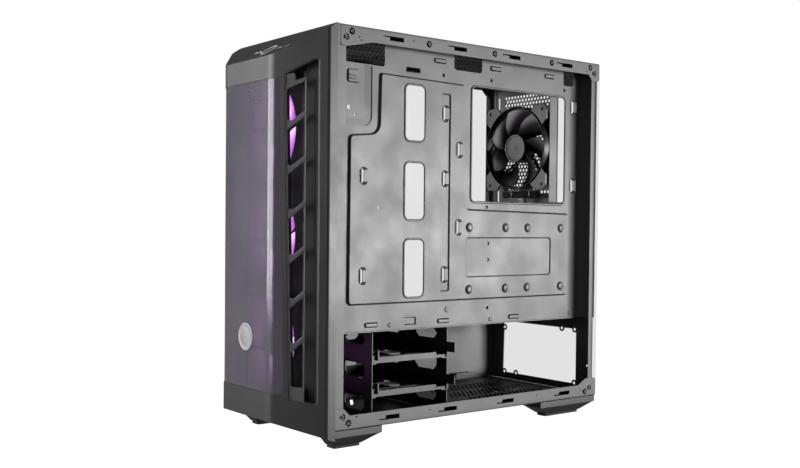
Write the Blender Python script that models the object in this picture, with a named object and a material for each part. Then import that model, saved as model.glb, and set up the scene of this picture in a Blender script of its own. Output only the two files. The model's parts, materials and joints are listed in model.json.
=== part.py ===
"""Desktop computer tower: an open mid-tower case with fans, drive cage and front controls.

Metres, +Z up. The origin is on the desk under the middle of the case. The front bezel faces -Y,
the cable side of the motherboard tray faces +X, and the main chamber opens towards -X.
"""
import math

import bmesh
import bpy
from mathutils import Matrix, Vector
from mathutils.geometry import delaunay_2d_cdt

# --- Steel chassis ---------------------------------------------------------------------------
HALF_WIDTH = 0.1045          # outer faces of the side rails
FRONT_Y = -0.1966            # front edges of the steel rails and pillars
MOUNT_Y = -0.1914            # front face of the plate that carries the front fans
REAR_Y = 0.230               # outer face of the rear wall
FLOOR_Z = 0.022              # underside of the steel floor
TOP_Z = 0.4678               # upper side of the steel top
SHEET = 0.001                # sheet thickness
GAP = 0.0003                 # clearance between pieces that touch
LAP = 0.0001                 # set-back that keeps two fused faces out of one plane
INNER_HALF = HALF_WIDTH - SHEET - GAP      # outer faces of the pillars, inside the rails
RAIL = 0.016                 # height of the side rails of the top and the floor
EAR = 0.024                  # height of the rails' corner ears, which lap the pillars
PILLAR = 0.0136              # width of the front and rear pillars
WALL_LOW = FLOOR_Z + SHEET + GAP
WALL_HIGH = TOP_Z - SHEET - GAP
RIVET_RADIUS = 0.0027
RIVET_HEAD = 0.0007

# --- Motherboard tray, shroud and drive cage ---------------------------------------------------
TRAY_X = 0.083               # cable-side face of the tray
TRAY_BOTTOM = 0.127
TRAY_TOP = 0.4655
TRAY_FLAT_END = 0.2085       # where the tray starts to bend outwards along the rear wall
TRAY_BEND = 0.0185           # radius of that bend
BOARD_ROWS = (0.4303, 0.4303 - 0.15748, 0.4303 - 0.28194)       # ATX board hole rows
BOARD_COLUMNS = (0.2049, 0.2049 - 0.15494, 0.2049 - 0.22733)    # ATX board hole columns
STANDOFF_LENGTH = 0.0065
STANDOFF_RADIUS = 0.0026
BOSS_RADIUS = 0.0048         # drive screw bosses on the tray
BOSS_RISE = 0.0022
HOOK_LENGTH, HOOK_WIDTH, HOOK_RISE, HOOK_SHEET = 0.018, 0.006, 0.0045, 0.0012
DRIVE_HOLES = (0.0617, 0.0766)             # 2.5 inch drive base pattern
DRIVE_Y, DRIVE_Z = (0.0468, 0.1475), 0.2087  # centres of the two drive places on the tray
SHROUD_HALF = 0.101
CAGE_Y = (-0.1366, -0.0200)
CAGE_X = (-0.058, 0.093)
CAGE_TAB = 0.0144             # reach of the tabs on the cage's rear wall
CAGE_LEVELS = (0.0520, 0.0905)             # undersides of the two drive trays
LEDGE_DROP = 0.0018

# --- Fans ------------------------------------------------------------------------------------
FAN_SIZE = 0.120
FAN_DEPTH = 0.025
FAN_HOLES = 0.105            # screw hole spacing of a 120 mm fan
FAN_BORE = 0.0575
FAN_TIP = 0.0560
HUB_RADIUS = 0.0205
BLADES = 7
FRONT_FAN_HEIGHTS = {"lower": 0.1155, "middle": 0.236, "upper": 0.3565}
REAR_FAN = (-0.030, 0.361)                 # centre X and Z

# --- Bezel -----------------------------------------------------------------------------------
NOSE_Y = -0.248              # front face
NOSE_HALF = 0.052            # half width of the flat front face
CHEEK_HALF = 0.1085          # half width of the bezel at its rim
CHEEK_Y = -0.208             # where the angled cheeks end
TOP_SLOPE = 0.66             # rise of the bezel's sloping top, per metre backwards
BOTTOM_SLOPE = -0.36
BEZEL_TOP = TOP_Z
BEZEL_BOTTOM = 0.012
BEZEL_WALL = 0.0026
PANEL_Z = (0.062, 0.408)     # smoked front panel
PANEL_HALF = (0.0664, 0.0609)  # its half width at the bottom and at the top
PANEL_RECESS = 0.0008
WINDOW_LOW, WINDOW_HIGH = 0.0565, 0.4140   # front corners of the side windows in the cheeks
WINDOW_FRONT = (0.0241, 0.0161)            # their front edge along the cheek, at those corners
WINDOW_REAR = 0.0579
LOUVRE_REAR = 0.0435                       # rear edge of the louvre panel; behind it is a gap
BADGE_Z = 0.120
BADGE_RADIUS = 0.016
CONTROL_Y = -0.2308          # the row of buttons and ports on the sloping top
POWER_X = 0.0195
RESET_X = -0.029
JACK_X = (-0.0098, -0.0013)
USB_X = (0.0410, 0.0565)
BOARD_DEPTH = 0.0135         # front port board, below the sloping face
BUTTON_PROUD = 0.0008

# --- Rear wall ---------------------------------------------------------------------------------
PSU_CENTRE = (-0.0019, 0.0706)
PSU_HOLES = (0.138, 0.074)                 # ATX power supply screw pattern
SLOT_PITCH = 0.02032                       # expansion slot pitch
SLOT_COUNT = 7
TOP_SLOT_Z = 0.262

# --- Feet and filters ----------------------------------------------------------------------------
PAD_HEIGHT = 0.003
FOOT_TOP = FLOOR_Z - GAP
FILTER_HALF = 0.0645

# Colour, roughness and metallic value of each finish
FINISHES = {
    "grey_steel": ((0.30, 0.30, 0.31, 1.0), 0.50, 0.35),
    "black_steel": ((0.02, 0.02, 0.022, 1.0), 0.50, 0.30),
    "black_plastic": ((0.012, 0.012, 0.013, 1.0), 0.45, 0.0),
    "smoked_acrylic": ((0.06, 0.05, 0.07, 1.0), 0.08, 0.0),
    "silver": ((0.62, 0.63, 0.64, 1.0), 0.30, 1.0),
    "rubber": ((0.02, 0.02, 0.02, 1.0), 0.85, 0.0),
    "fan_plastic": ((0.015, 0.015, 0.016, 1.0), 0.40, 0.0),
    "clear_blade": ((0.75, 0.55, 0.80, 1.0), 0.20, 0.0),
    "circuit_board": ((0.01, 0.05, 0.03, 1.0), 0.45, 0.0),
    "nickel": ((0.70, 0.69, 0.66, 1.0), 0.25, 1.0),
    "light_ring": ((0.80, 0.78, 0.82, 1.0), 0.35, 0.0),
    "white_plastic": ((0.80, 0.80, 0.76, 1.0), 0.45, 0.0),
}


# --- Outlines: closed loops of 2D points ---------------------------------------------------------

def rounded(corners, radius, steps=3):
    """The outline through the corners, each one rounded; radius is one value or one per corner."""
    radii = radius if isinstance(radius, (list, tuple)) else [radius] * len(corners)
    loop = []
    for index, (corner, bend) in enumerate(zip(corners, radii)):
        here = Vector(corner)
        if bend == 0:
            loop.append(here)
            continue
        back = (Vector(corners[index - 1]) - here).normalized()
        onward = (Vector(corners[(index + 1) % len(corners)]) - here).normalized()
        half_angle = back.angle(onward) / 2
        centre = here + (back + onward).normalized() * bend / math.sin(half_angle)
        start = here + back * bend / math.tan(half_angle) - centre
        end = here + onward * bend / math.tan(half_angle) - centre
        sweep = start.angle_signed(end)
        for step in range(steps + 1):
            loop.append(centre + Matrix.Rotation(-sweep * step / steps, 2) @ start)
    return loop


def rectangle(u_low, u_high, v_low, v_high, radius=0.0, steps=3):
    corners = [(u_low, v_low), (u_high, v_low), (u_high, v_high), (u_low, v_high)]
    return rounded(corners, radius, steps)


def centred(u, v, width, height, radius=0.0, steps=3):
    return rectangle(u - width / 2, u + width / 2, v - height / 2, v + height / 2, radius, steps)


def circle(u, v, radius, steps=12):
    turns = [2 * math.pi * (step + 0.5) / steps for step in range(steps)]
    return [Vector((u + radius * math.cos(turn), v + radius * math.sin(turn))) for turn in turns]


def slanted_slots(u_range, v_range, slant, pitch, width):
    """Four-cornered slots across u_range, repeated along v_range, each rising by slant."""
    u_low, u_high = u_range
    count = int((v_range[1] - v_range[0] - slant - width) / pitch) + 1
    starts = [v_range[0] + step * pitch for step in range(count)]
    return [[Vector(p) for p in ((u_low, v), (u_high, v + slant), (u_high, v + slant + width),
                                 (u_low, v + width))] for v in starts]


def grid(u_range, v_range, columns, rows, bar):
    """Rectangular openings that leave bars between them."""
    width = (u_range[1] - u_range[0] + bar) / columns
    height = (v_range[1] - v_range[0] + bar) / rows
    cells = []
    for column in range(columns):
        for row in range(rows):
            u = u_range[0] + column * width
            v = v_range[0] + row * height
            cells.append(rectangle(u, u + width - bar, v, v + height - bar))
    return cells


# --- Solids --------------------------------------------------------------------------------------

def new_object(name, mesh_data):
    mesh = bpy.data.meshes.new(name)
    mesh_data.to_mesh(mesh)
    mesh_data.free()
    thing = bpy.data.objects.new(name, mesh)
    bpy.context.scene.collection.objects.link(thing)
    return thing


def cap_triangles(loops, corners):
    """Triangles between the outline and its holes, as corner numbers."""
    faces = []
    for loop in loops:
        first = sum(len(face) for face in faces)
        face = list(range(first, first + len(loop)))
        twice_area = sum(here.cross(after) for here, after in zip(loop, loop[1:] + loop[:1]))
        faces.append(face if twice_area > 0 else face[::-1])
    inside_constraints = 1
    merge_distance = 1e-7
    _, _, triangles, names, _, owners = delaunay_2d_cdt(corners, [], faces, inside_constraints,
                                                        merge_distance)
    return [[names[corner][0] for corner in triangle]
            for triangle, owner in zip(triangles, owners) if owner == [0]]


def prism(loops, low, high):
    """A closed solid between two faces. loops[0] is its outline and the others are its holes.

    low and high turn an outline point into the 3D points of the two faces.
    """
    corners = [point for loop in loops for point in loop]
    solid = bmesh.new()
    lows = [solid.verts.new(low(point)) for point in corners]
    highs = [solid.verts.new(high(point)) for point in corners]
    for a, b, c in cap_triangles(loops, corners):
        solid.faces.new((lows[c], lows[b], lows[a]))
        solid.faces.new((highs[a], highs[b], highs[c]))
    first = 0
    for loop in loops:
        for step in range(len(loop)):
            here = first + step
            after = first + (step + 1) % len(loop)
            solid.faces.new((lows[here], lows[after], highs[after], highs[here]))
        first += len(loop)
    bmesh.ops.recalc_face_normals(solid, faces=solid.faces)
    return new_object("piece", solid)


def slab(axis, low, high, outline, holes=()):
    """A plate square to an axis; its outline gives the other two coordinates in X, Y, Z order."""
    place = {"X": lambda p, depth: (depth, p.x, p.y),
             "Y": lambda p, depth: (p.x, depth, p.y),
             "Z": lambda p, depth: (p.x, p.y, depth)}[axis]
    return prism([outline, *holes], lambda p: place(p, low), lambda p: place(p, high))


def block(x_range, y_range, z_range, radius=0.0):
    return slab("Z", *z_range, rectangle(*x_range, *y_range, radius))


def combine(base, tools, operation="UNION"):
    """Join the tools to the base, or cut them from it, and remove them."""
    for tool in tools:
        boolean = base.modifiers.new("Combine", "BOOLEAN")
        boolean.operation = operation
        boolean.solver = "EXACT"
        boolean.object = tool
        bpy.context.view_layer.update()
        graph = bpy.context.evaluated_depsgraph_get()
        mesh = bpy.data.meshes.new_from_object(base.evaluated_get(graph))
        base.modifiers.clear()
        base.data = mesh
        bpy.data.objects.remove(tool)
    return base


def cut(base, tools):
    return combine(base, tools, "DIFFERENCE")


def finished(thing, name, finish):
    """Name a piece, smooth its round faces and give it its own material."""
    thing.name = name
    thing.data.name = name
    thing.data.shade_smooth()
    thing.data.set_sharp_from_angle(angle=math.radians(30))
    colour, roughness, metallic = FINISHES[finish]
    material = bpy.data.materials.new(name)
    material.use_nodes = True
    shader = material.node_tree.nodes["Principled BSDF"]
    shader.inputs["Base Color"].default_value = colour
    shader.inputs["Roughness"].default_value = roughness
    shader.inputs["Metallic"].default_value = metallic
    thing.data.materials.clear()
    thing.data.materials.append(material)
    return thing


def empty(name, location, rotation=(0, 0, 0)):
    """A guide on a joint's axis; moving pieces are parented to it."""
    guide = bpy.data.objects.new(name, None)
    guide.location = location
    guide.rotation_euler = rotation
    bpy.context.scene.collection.objects.link(guide)
    return guide


# --- Chassis -------------------------------------------------------------------------------------

def side_rail(side, edge_z, inward, slots, rivets):
    """The folded-down side of the top (or folded-up side of the floor), with its corner ears.

    edge_z is the rail's outer edge and inward is -1 below the top, +1 above the floor.
    """
    rail_z = edge_z + inward * RAIL
    ear_z = edge_z + inward * EAR
    chamfer = EAR - RAIL
    outline = rounded([
        (FRONT_Y, edge_z), (REAR_Y, edge_z),
        (REAR_Y, ear_z), (REAR_Y - PILLAR, ear_z),
        (REAR_Y - PILLAR - chamfer, rail_z), (FRONT_Y + PILLAR + chamfer, rail_z),
        (FRONT_Y + PILLAR, ear_z), (FRONT_Y, ear_z),
    ], (0, 0, 0.002, 0, 0, 0, 0, 0.002))
    holes = [hook_slot(y, edge_z + inward * 0.0085, -inward) for y in slots]
    outer = side * HALF_WIDTH
    low, high = sorted((outer - side * SHEET, outer))
    rail = slab("X", low, high, outline, holes)
    heads = [slab("X", *sorted((outer - side * SHEET / 2, outer + side * RIVET_HEAD)),
                  circle(y, z, RIVET_RADIUS, 8)) for y, z in rivets]
    return combine(rail, heads)


def hook_slot(y, z, thin_side):
    """The slot that a side panel's hook drops into: a window with a thin lead-in to the front."""
    half, lead, height, thin = 0.010, 0.009, 0.0025, 0.0016
    edge = z + thin_side * height
    corners = [(y - half, z - thin_side * height), (y + half, z - thin_side * height), (y + half, edge),
               (y - half - lead, edge), (y - half - lead, edge - thin_side * thin),
               (y - half, edge - thin_side * thin)]
    return [Vector(corner) for corner in corners]


def chassis_plate(name, z_range, edge_z, inward, vents, slots, rivets, extras=()):
    half = HALF_WIDTH - SHEET / 2
    plate = slab("Z", *z_range, rectangle(-half, half, FRONT_Y + LAP, REAR_Y - LAP), vents)
    rails = [side_rail(side, edge_z, inward, slots, rivets) for side in (-1, 1)]
    return finished(combine(plate, [*rails, *extras]), name, "grey_steel")


def top_panel():
    vents = slanted_slots((-0.060, 0.060), (-0.172, 0.190), 0.060, 0.0160, 0.0090)
    rivets = [(-0.1764, 0.461), (-0.184, 0.454), (0.2117, 0.461), (0.2198, 0.454),
              (-0.070, 0.460), (0.038, 0.460), (0.138, 0.460)]
    chassis_plate("top_panel", (TOP_Z - SHEET, TOP_Z), TOP_Z, -1, vents,
                  (-0.114, -0.018, 0.072, 0.167), rivets)


def bottom_panel():
    vents = slanted_slots((-0.057, 0.057), (0.070, 0.212), 0.055, 0.0115, 0.0065)
    rivets = [(-0.1845, 0.0367), (-0.1766, 0.0296), (0.2176, 0.0333), (0.2087, 0.0287)]
    guides = []
    for side in (-1, 1):
        inner, outer, lip = (side * (FILTER_HALF + reach) for reach in (GAP, 0.0024, -0.003))
        channel = [Vector(p) for p in ((outer, FLOOR_Z + SHEET / 2), (outer, 0.0164), (lip, 0.0164),
                                       (lip, 0.0176), (inner, 0.0176), (inner, FLOOR_Z + SHEET / 2))]
        guides.append(slab("Y", 0.062, 0.222, channel))
    chassis_plate("bottom_panel", (FLOOR_Z, FLOOR_Z + SHEET), FLOOR_Z, 1, vents,
                  (-0.115, -0.028, 0.067, 0.169), rivets, guides)


def pillars(wall_y, inward):
    """The two folded edges that run up an end wall; inward is +1 at the front, -1 at the rear."""
    depth = sorted((wall_y, wall_y + inward * PILLAR))
    return [block(sorted((side * INNER_HALF, side * (INNER_HALF - SHEET))), depth, (WALL_LOW, WALL_HIGH))
            for side in (-1, 1)]


def front_frame():
    fan_openings = [circle(0, z, 0.056, 28) for z in FRONT_FAN_HEIGHTS.values()]
    screws = [circle(sx * FAN_HOLES / 2, z + sz * FAN_HOLES / 2, 0.0022, 6)
              for z in FRONT_FAN_HEIGHTS.values() for sx in (-1, 1) for sz in (-1, 1)]
    cable_slots = [centred(side * 0.080, z, 0.016, 0.090, 0.006, 2) for side in (-1, 1)
                   for z in (0.130, 0.300)]
    plate = slab("Y", MOUNT_Y, MOUNT_Y + SHEET,
                 rectangle(-INNER_HALF + LAP, INNER_HALF - LAP, WALL_LOW, WALL_HIGH),
                 fan_openings + screws + cable_slots)
    finished(combine(plate, pillars(FRONT_Y, 1)), "front_frame", "grey_steel")


def rear_wall():
    fan_x, fan_z = REAR_FAN
    vents = []
    for step in range(-4, 5):
        offset = step * 0.0115
        half = math.sqrt(0.053 ** 2 - offset ** 2)
        vents.append(rectangle(fan_x + offset - 0.0038, fan_x + offset + 0.0038,
                               fan_z - half, fan_z + half, 0.003, 2))
    fan_screws = [circle(fan_x + sx * FAN_HOLES / 2, fan_z + sz * FAN_HOLES / 2, 0.0024, 6)
                  for sx in (-1, 1) for sz in (-1, 1)]
    psu_x, psu_z = PSU_CENTRE
    reach_x, reach_z, corner = 0.0717, 0.0378, 0.0095
    psu_opening = [Vector((psu_x + sx * (reach_x - cx), psu_z + sz * (reach_z - cz)))
                   for sx, sz, cx, cz in ((-1, -1, 0, corner), (-1, -1, corner, 0),
                                          (1, -1, corner, 0), (1, -1, 0, corner),
                                          (1, 1, 0, corner), (1, 1, corner, 0),
                                          (-1, 1, corner, 0), (-1, 1, 0, corner))]
    psu_screws = [circle(psu_x + sx * PSU_HOLES[0] / 2, psu_z + sz * PSU_HOLES[1] / 2, 0.0019, 8)
                  for sx in (-1, 1) for sz in (-1, 1)]
    port_opening = rectangle(0.0308, 0.0752, 0.2830, 0.4418, 0.001, 1)
    slots = [rectangle(-0.0535, 0.058, z - 0.0065, z + 0.0065) for z in slot_heights()]
    plate = slab("Y", REAR_Y - SHEET, REAR_Y,
                 rectangle(-INNER_HALF, INNER_HALF, WALL_LOW, WALL_HIGH),
                 [*vents, *fan_screws, psu_opening, *psu_screws, port_opening, *slots])
    finished(combine(plate, pillars(REAR_Y, -1)), "rear_wall", "grey_steel")


def slot_heights():
    return [TOP_SLOT_Z - step * SLOT_PITCH for step in range(SLOT_COUNT)]


def cable_hook(y, z, vertical):
    """A small bridge lanced out of the tray, for a cable tie."""
    half, rise, root = HOOK_LENGTH / 2, HOOK_RISE, -SHEET / 2
    under, inner = rise - HOOK_SHEET, half - HOOK_SHEET
    corners = ((-half, root), (-half, rise), (half, rise), (half, root),
               (inner, root), (inner, under), (-inner, under), (-inner, root))
    bridge = [Vector(corner) for corner in corners]
    side = HOOK_WIDTH / 2
    if vertical:
        return prism([bridge], lambda p: (TRAY_X + p.y, y - side, z + p.x),
                     lambda p: (TRAY_X + p.y, y + side, z + p.x))
    return prism([bridge], lambda p: (TRAY_X + p.y, y + p.x, z - side),
                 lambda p: (TRAY_X + p.y, y + p.x, z + side))


def motherboard_tray():
    cooler_window = rectangle(0.020, 0.189, 0.2775, 0.4225, 0.007)
    cable_windows = [rectangle(-0.0865, -0.0553, low, high, 0.008)
                     for low, high in ((0.1632, 0.2330), (0.2545, 0.3235), (0.3472, 0.4145))]
    front_notch = rounded([
        (-0.186, 0.361), (-0.1314, 0.361), (-0.1314, 0.431), (-0.1138, 0.431), (-0.1138, 0.462),
        (-0.186, 0.462), (-0.186, 0.431), (-0.1427, 0.431), (-0.1427, 0.3676), (-0.186, 0.3676),
    ], (0.001, 0.012, 0, 0.003, 0.003, 0.001, 0.001, 0, 0.005, 0.001))
    top_windows = [rectangle(-0.008, 0.038, 0.4385, 0.462, 0.003),
                   rectangle(0.1846, 0.204, 0.437, 0.462, 0.003)]
    drive_holes = [circle(0.049, 0.2271, 0.0025, 8), circle(0.049, 0.2068, 0.0025, 8),
                   circle(-0.1235, 0.2688, 0.0025, 8)]
    grommet = rectangle(-0.0823, -0.0611, 0.4285, 0.4345, 0.002, 2)
    plate = slab("X", TRAY_X - SHEET, TRAY_X,
                 rectangle(MOUNT_Y + 0.0017, TRAY_FLAT_END, TRAY_BOTTOM, TRAY_TOP),
                 [cooler_window, *cable_windows, front_notch, *top_windows, *drive_holes, grommet])
    turns = [math.pi / 2 * step / 6 for step in range(7)]
    bend = []
    for radius, order in ((TRAY_BEND, turns), (TRAY_BEND + SHEET, turns[::-1])):
        for turn in order:
            bend.append(Vector((TRAY_X + TRAY_BEND - radius * math.cos(turn),
                                TRAY_FLAT_END + radius * math.sin(turn))))
    bend.append(Vector((TRAY_X - SHEET, TRAY_FLAT_END - 0.001)))
    bend.append(Vector((TRAY_X, TRAY_FLAT_END - 0.001)))
    rear_bend = slab("Z", TRAY_BOTTOM, TRAY_TOP, bend)
    upright = [(-0.0248, 0.3838), (-0.0237, 0.3054), (-0.0237, 0.1896), (-0.0009, 0.3414),
               (-0.0015, 0.2468), (-0.1447, 0.3042), (-0.1452, 0.1906)]
    level = [(-0.0307, 0.4466), (0.061, 0.4464), (0.1579, 0.4465),
             (-0.1304, 0.1338), (-0.0725, 0.1364), (-0.0218, 0.1334), (0.0968, 0.1330)]
    hooks = [cable_hook(y, z, True) for y, z in upright] + [cable_hook(y, z, False) for y, z in level]
    standoffs = [slab("X", TRAY_X - SHEET - STANDOFF_LENGTH, TRAY_X - SHEET / 2,
                      circle(y, z, STANDOFF_RADIUS, 8))
                 for y in BOARD_COLUMNS for z in BOARD_ROWS]
    bosses = [slab("X", TRAY_X - SHEET / 2, TRAY_X + BOSS_RISE,
                   circle(y + sy * DRIVE_HOLES[0] / 2, DRIVE_Z + sz * DRIVE_HOLES[1] / 2, BOSS_RADIUS, 12))
              for y in DRIVE_Y for sy in (-1, 1) for sz in (-1, 1)]
    finished(combine(plate, [rear_bend, *hooks, *standoffs, *bosses]), "motherboard_tray", "grey_steel")


def psu_shroud():
    vents = slanted_slots((-0.070, 0.050), (0.020, 0.190), 0.030, 0.0160, 0.0080)
    pass_through = [rectangle(0.050, 0.074, -0.100, -0.040, 0.006, 2)]
    z_top = TRAY_BOTTOM - GAP
    top = slab("Z", z_top - SHEET, z_top,
               rectangle(-SHROUD_HALF, TRAY_X, MOUNT_Y + SHEET + GAP, REAR_Y - SHEET - GAP),
               vents + pass_through)
    side = block((-SHROUD_HALF, -SHROUD_HALF + SHEET), (FRONT_Y + PILLAR + GAP, REAR_Y - SHEET - GAP),
                 (WALL_LOW, z_top))
    finished(combine(top, [side]), "psu_shroud", "grey_steel")


# --- Drive cage ----------------------------------------------------------------------------------

def drive_cage():
    """Two upright walls joined by a back plate, with ledges that carry the drive trays."""
    front, rear = CAGE_Y
    back, mouth = CAGE_X
    ceiling = TRAY_BOTTOM - GAP - SHEET - GAP
    walls = []
    for low in (front, rear - SHEET):
        windows = [rectangle(x, x + 0.052, z, z + 0.024, 0.003, 1)
                   for x in (-0.046, 0.018) for z in (0.060, 0.0965)]
        walls.append(slab("Y", low, low + SHEET, rectangle(back, mouth, WALL_LOW, ceiling), windows))
    back_plate = block((back, back + SHEET), (front, rear), (WALL_LOW, ceiling))
    ledges = []
    for level in CAGE_LEVELS:
        for wall, inward in ((front, 1), (rear, -1)):
            reach = sorted((wall + inward * SHEET / 2, wall + inward * 0.009))
            ledges.append(block((back + SHEET / 2, mouth - 0.004), reach,
                                (level - LEDGE_DROP, level - GAP)))
    tabs = [block((mouth - SHEET, mouth), (rear - SHEET / 2, rear + CAGE_TAB), (z, z + 0.009))
            for z in (0.060, 0.099)]
    finished(combine(walls[0], [walls[1], back_plate, *ledges, *tabs]), "drive_cage", "black_steel")


def drive_tray(name, level):
    """A plastic caddy for one 3.5 inch drive: ribbed floor, side rails and a front handle."""
    front = CAGE_Y[0] + SHEET + GAP * 2
    rear = CAGE_Y[1] - SHEET - GAP * 2
    back = CAGE_X[0] + SHEET + 0.002
    mouth = CAGE_X[1] - 0.001
    guide = empty(name + "_slide", (mouth, (front + rear) / 2, level))
    openings = grid((back + 0.012, mouth - 0.020), (front + 0.010, rear - 0.010), 3, 2, 0.008)
    floor = slab("Z", level, level + 0.002, rectangle(back, mouth, front, rear), openings)
    rails = [block((back, mouth), sorted((wall, wall + inward * 0.0022)), (level, level + 0.009))
             for wall, inward in ((front, 1), (rear, -1))]
    handle = slab("X", mouth - 0.003, mouth, rectangle(front, rear, level, level + 0.0065),
                  [rectangle(front + 0.040, rear - 0.040, level + 0.0022, level + 0.005, 0.001, 1)])
    tray = finished(combine(floor, [*rails, handle]), name, "black_plastic")
    keep_place_under(tray, guide)


def keep_place_under(thing, guide):
    """Parent a piece to its guide without moving it, and put its own origin on the guide."""
    bpy.context.view_layer.update()
    thing.data.transform(guide.matrix_world.inverted() @ thing.matrix_world)
    thing.matrix_world = Matrix.Identity(4)
    thing.parent = guide


# --- Fans ----------------------------------------------------------------------------------------

def fan_frame(name, x, z, front):
    """A 120 mm fan's housing with a motor mount on four struts at its back."""
    back = front + FAN_DEPTH
    screws = [circle(x + sx * FAN_HOLES / 2, z + sz * FAN_HOLES / 2, 0.0022, 6)
              for sx in (-1, 1) for sz in (-1, 1)]
    housing = slab("Y", front, back, centred(x, z, FAN_SIZE, FAN_SIZE, 0.007),
                   [circle(x, z, FAN_BORE, 28), *screws])
    mount = slab("Y", back - 0.0035, back - 0.0002, circle(x, z, HUB_RADIUS, 16))
    reach = FAN_BORE + 0.0015
    struts = []
    for turn in (0.4, 0.9, 1.4, 1.9):
        along = Vector((math.cos(turn * math.pi), math.sin(turn * math.pi)))
        across = Vector((-along.y, along.x)) * 0.0018
        centre = Vector((x, z))
        outline = [centre + along * 0.010 - across, centre + along * reach - across,
                   centre + along * reach + across, centre + along * 0.010 + across]
        struts.append(slab("Y", back - 0.0030, back - 0.0006, outline))
    finished(combine(housing, [mount, *struts]), name, "fan_plastic")


def blade(x, z, turn, front, back):
    """One twisted, swept blade between the hub and the tip circle."""
    stations = 3
    rings = []
    solid = bmesh.new()
    for step in range(stations):
        share = step / (stations - 1)
        radius = HUB_RADIUS - 0.0012 + share * (FAN_TIP - HUB_RADIUS + 0.0012)
        lead = turn + 0.30 * share ** 1.3
        chord = 0.62 + 0.10 * share
        twist = 1.0 - 0.35 * share
        middle = (front + back) / 2
        lift = (back - front) / 2 * twist
        ring = []
        for angle, y in ((lead, middle - lift), (lead + chord / 2, middle - lift * 0.15),
                         (lead + chord, middle + lift)):
            for skin in (-0.0006, 0.0006):
                ring.append(solid.verts.new((x + radius * math.cos(angle), y + skin,
                                             z + radius * math.sin(angle))))
        rings.append([ring[i] for i in (0, 2, 4, 5, 3, 1)])
    for inner, outer in zip(rings, rings[1:]):
        for i in range(6):
            j = (i + 1) % 6
            solid.faces.new((inner[i], inner[j], outer[j], outer[i]))
    for ring in (rings[0], rings[-1]):
        solid.faces.new((ring[0], ring[1], ring[4], ring[5]))
        solid.faces.new((ring[1], ring[2], ring[3], ring[4]))
    bmesh.ops.triangulate(solid, faces=solid.faces)
    bmesh.ops.recalc_face_normals(solid, faces=solid.faces)
    return new_object("blade", solid)


def fan_rotor(name, x, z, front, finish):
    guide = empty(name + "_axle", (x, front + FAN_DEPTH / 2, z))
    hub = slab("Y", front + 0.0012, front + FAN_DEPTH - 0.0045, circle(x, z, HUB_RADIUS, 18))
    blades = [blade(x, z, 2 * math.pi * step / BLADES, front + 0.0035, front + 0.0190)
              for step in range(BLADES)]
    keep_place_under(finished(combine(hub, blades), name, finish), guide)


def fans():
    front = MOUNT_Y - 2 * GAP - FAN_DEPTH
    for level, z in FRONT_FAN_HEIGHTS.items():
        fan_frame("front_fan_frame_" + level, 0, z, front)
        fan_rotor("front_fan_rotor_" + level, 0, z, front, "clear_blade")
    x, z = REAR_FAN
    rear = REAR_Y - SHEET - GAP - FAN_DEPTH
    fan_frame("rear_fan_frame", x, z, rear)
    fan_rotor("rear_fan_rotor", x, z, rear, "fan_plastic")
    under = z - FAN_SIZE / 2
    lead = slab("X", x - 0.030, x + 0.044, centred(0.2115, under - 0.0063, 0.011, 0.011, 0.0045, 2))
    finished(lead, "rear_fan_lead", "fan_plastic")
    connector = block((x + 0.004, x + 0.016), (0.2080, 0.2140), (under - 0.0180, under - 0.0123), 0.001)
    finished(connector, "rear_fan_connector", "white_plastic")


# --- Bezel ---------------------------------------------------------------------------------------

def bezel_outline(inset):
    """Plan outline of the bezel, moved inwards by inset; the inset one runs out past the rim."""
    run = Vector((CHEEK_HALF - NOSE_HALF, CHEEK_Y - NOSE_Y))
    half_turn = math.atan2(run.y, run.x) / 2
    rim_turn = math.pi / 4 - half_turn
    nose_half = NOSE_HALF - inset * math.tan(half_turn)
    cheek_y = CHEEK_Y + inset * math.tan(rim_turn)
    rim_y = FRONT_Y - GAP + (0.002 if inset else 0)
    half = CHEEK_HALF - inset
    corners = [(-half, rim_y), (-half, cheek_y), (-nose_half, NOSE_Y + inset),
               (nose_half, NOSE_Y + inset), (half, cheek_y), (half, rim_y)]
    return rounded(corners, (0, 0.004 - inset, 0.018 - inset, 0.018 - inset, 0.004 - inset, 0), 5)


def top_z(y, drop=0.0):
    return BEZEL_TOP + TOP_SLOPE * (y - FRONT_Y) - drop * math.hypot(1, TOP_SLOPE)


def bottom_z(y, lift=0.0):
    return BEZEL_BOTTOM + BOTTOM_SLOPE * (y - FRONT_Y) + lift * math.hypot(1, BOTTOM_SLOPE)


def bezel_shape(inset):
    return prism([bezel_outline(inset)], lambda p: (p.x, p.y, bottom_z(p.y, inset)),
                 lambda p: (p.x, p.y, top_z(p.y, inset)))


def panel_window(clearance, y_low, y_high):
    low_half, high_half = PANEL_HALF
    low, high = PANEL_Z
    corners = [(-low_half, low), (low_half, low), (high_half, high), (-high_half, high)]
    grown = [(u + math.copysign(clearance, u), v + math.copysign(clearance, v - 0.2))
             for u, v in corners]
    return slab("Y", y_low, y_high, rounded(grown, 0.004))


def cheek_frame(side):
    """Places pieces on an angled cheek: local X backwards along it, Y up, Z outwards."""
    along = Vector((side * (CHEEK_HALF - NOSE_HALF), CHEEK_Y - NOSE_Y, 0)).normalized()
    up = Vector((0, 0, 1))
    outward = Vector((along.y * side, -abs(along.x), 0))
    columns = Matrix((along, up, outward)).transposed().to_4x4()
    return Matrix.Translation((side * NOSE_HALF, NOSE_Y, 0)) @ columns


def cheek_edge(z):
    """Distance along the cheek of the side window's front edge, which leans forwards as it rises."""
    share = (z - WINDOW_LOW) / (WINDOW_HIGH - WINDOW_LOW)
    return WINDOW_FRONT[0] + (WINDOW_FRONT[1] - WINDOW_FRONT[0]) * share


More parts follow.
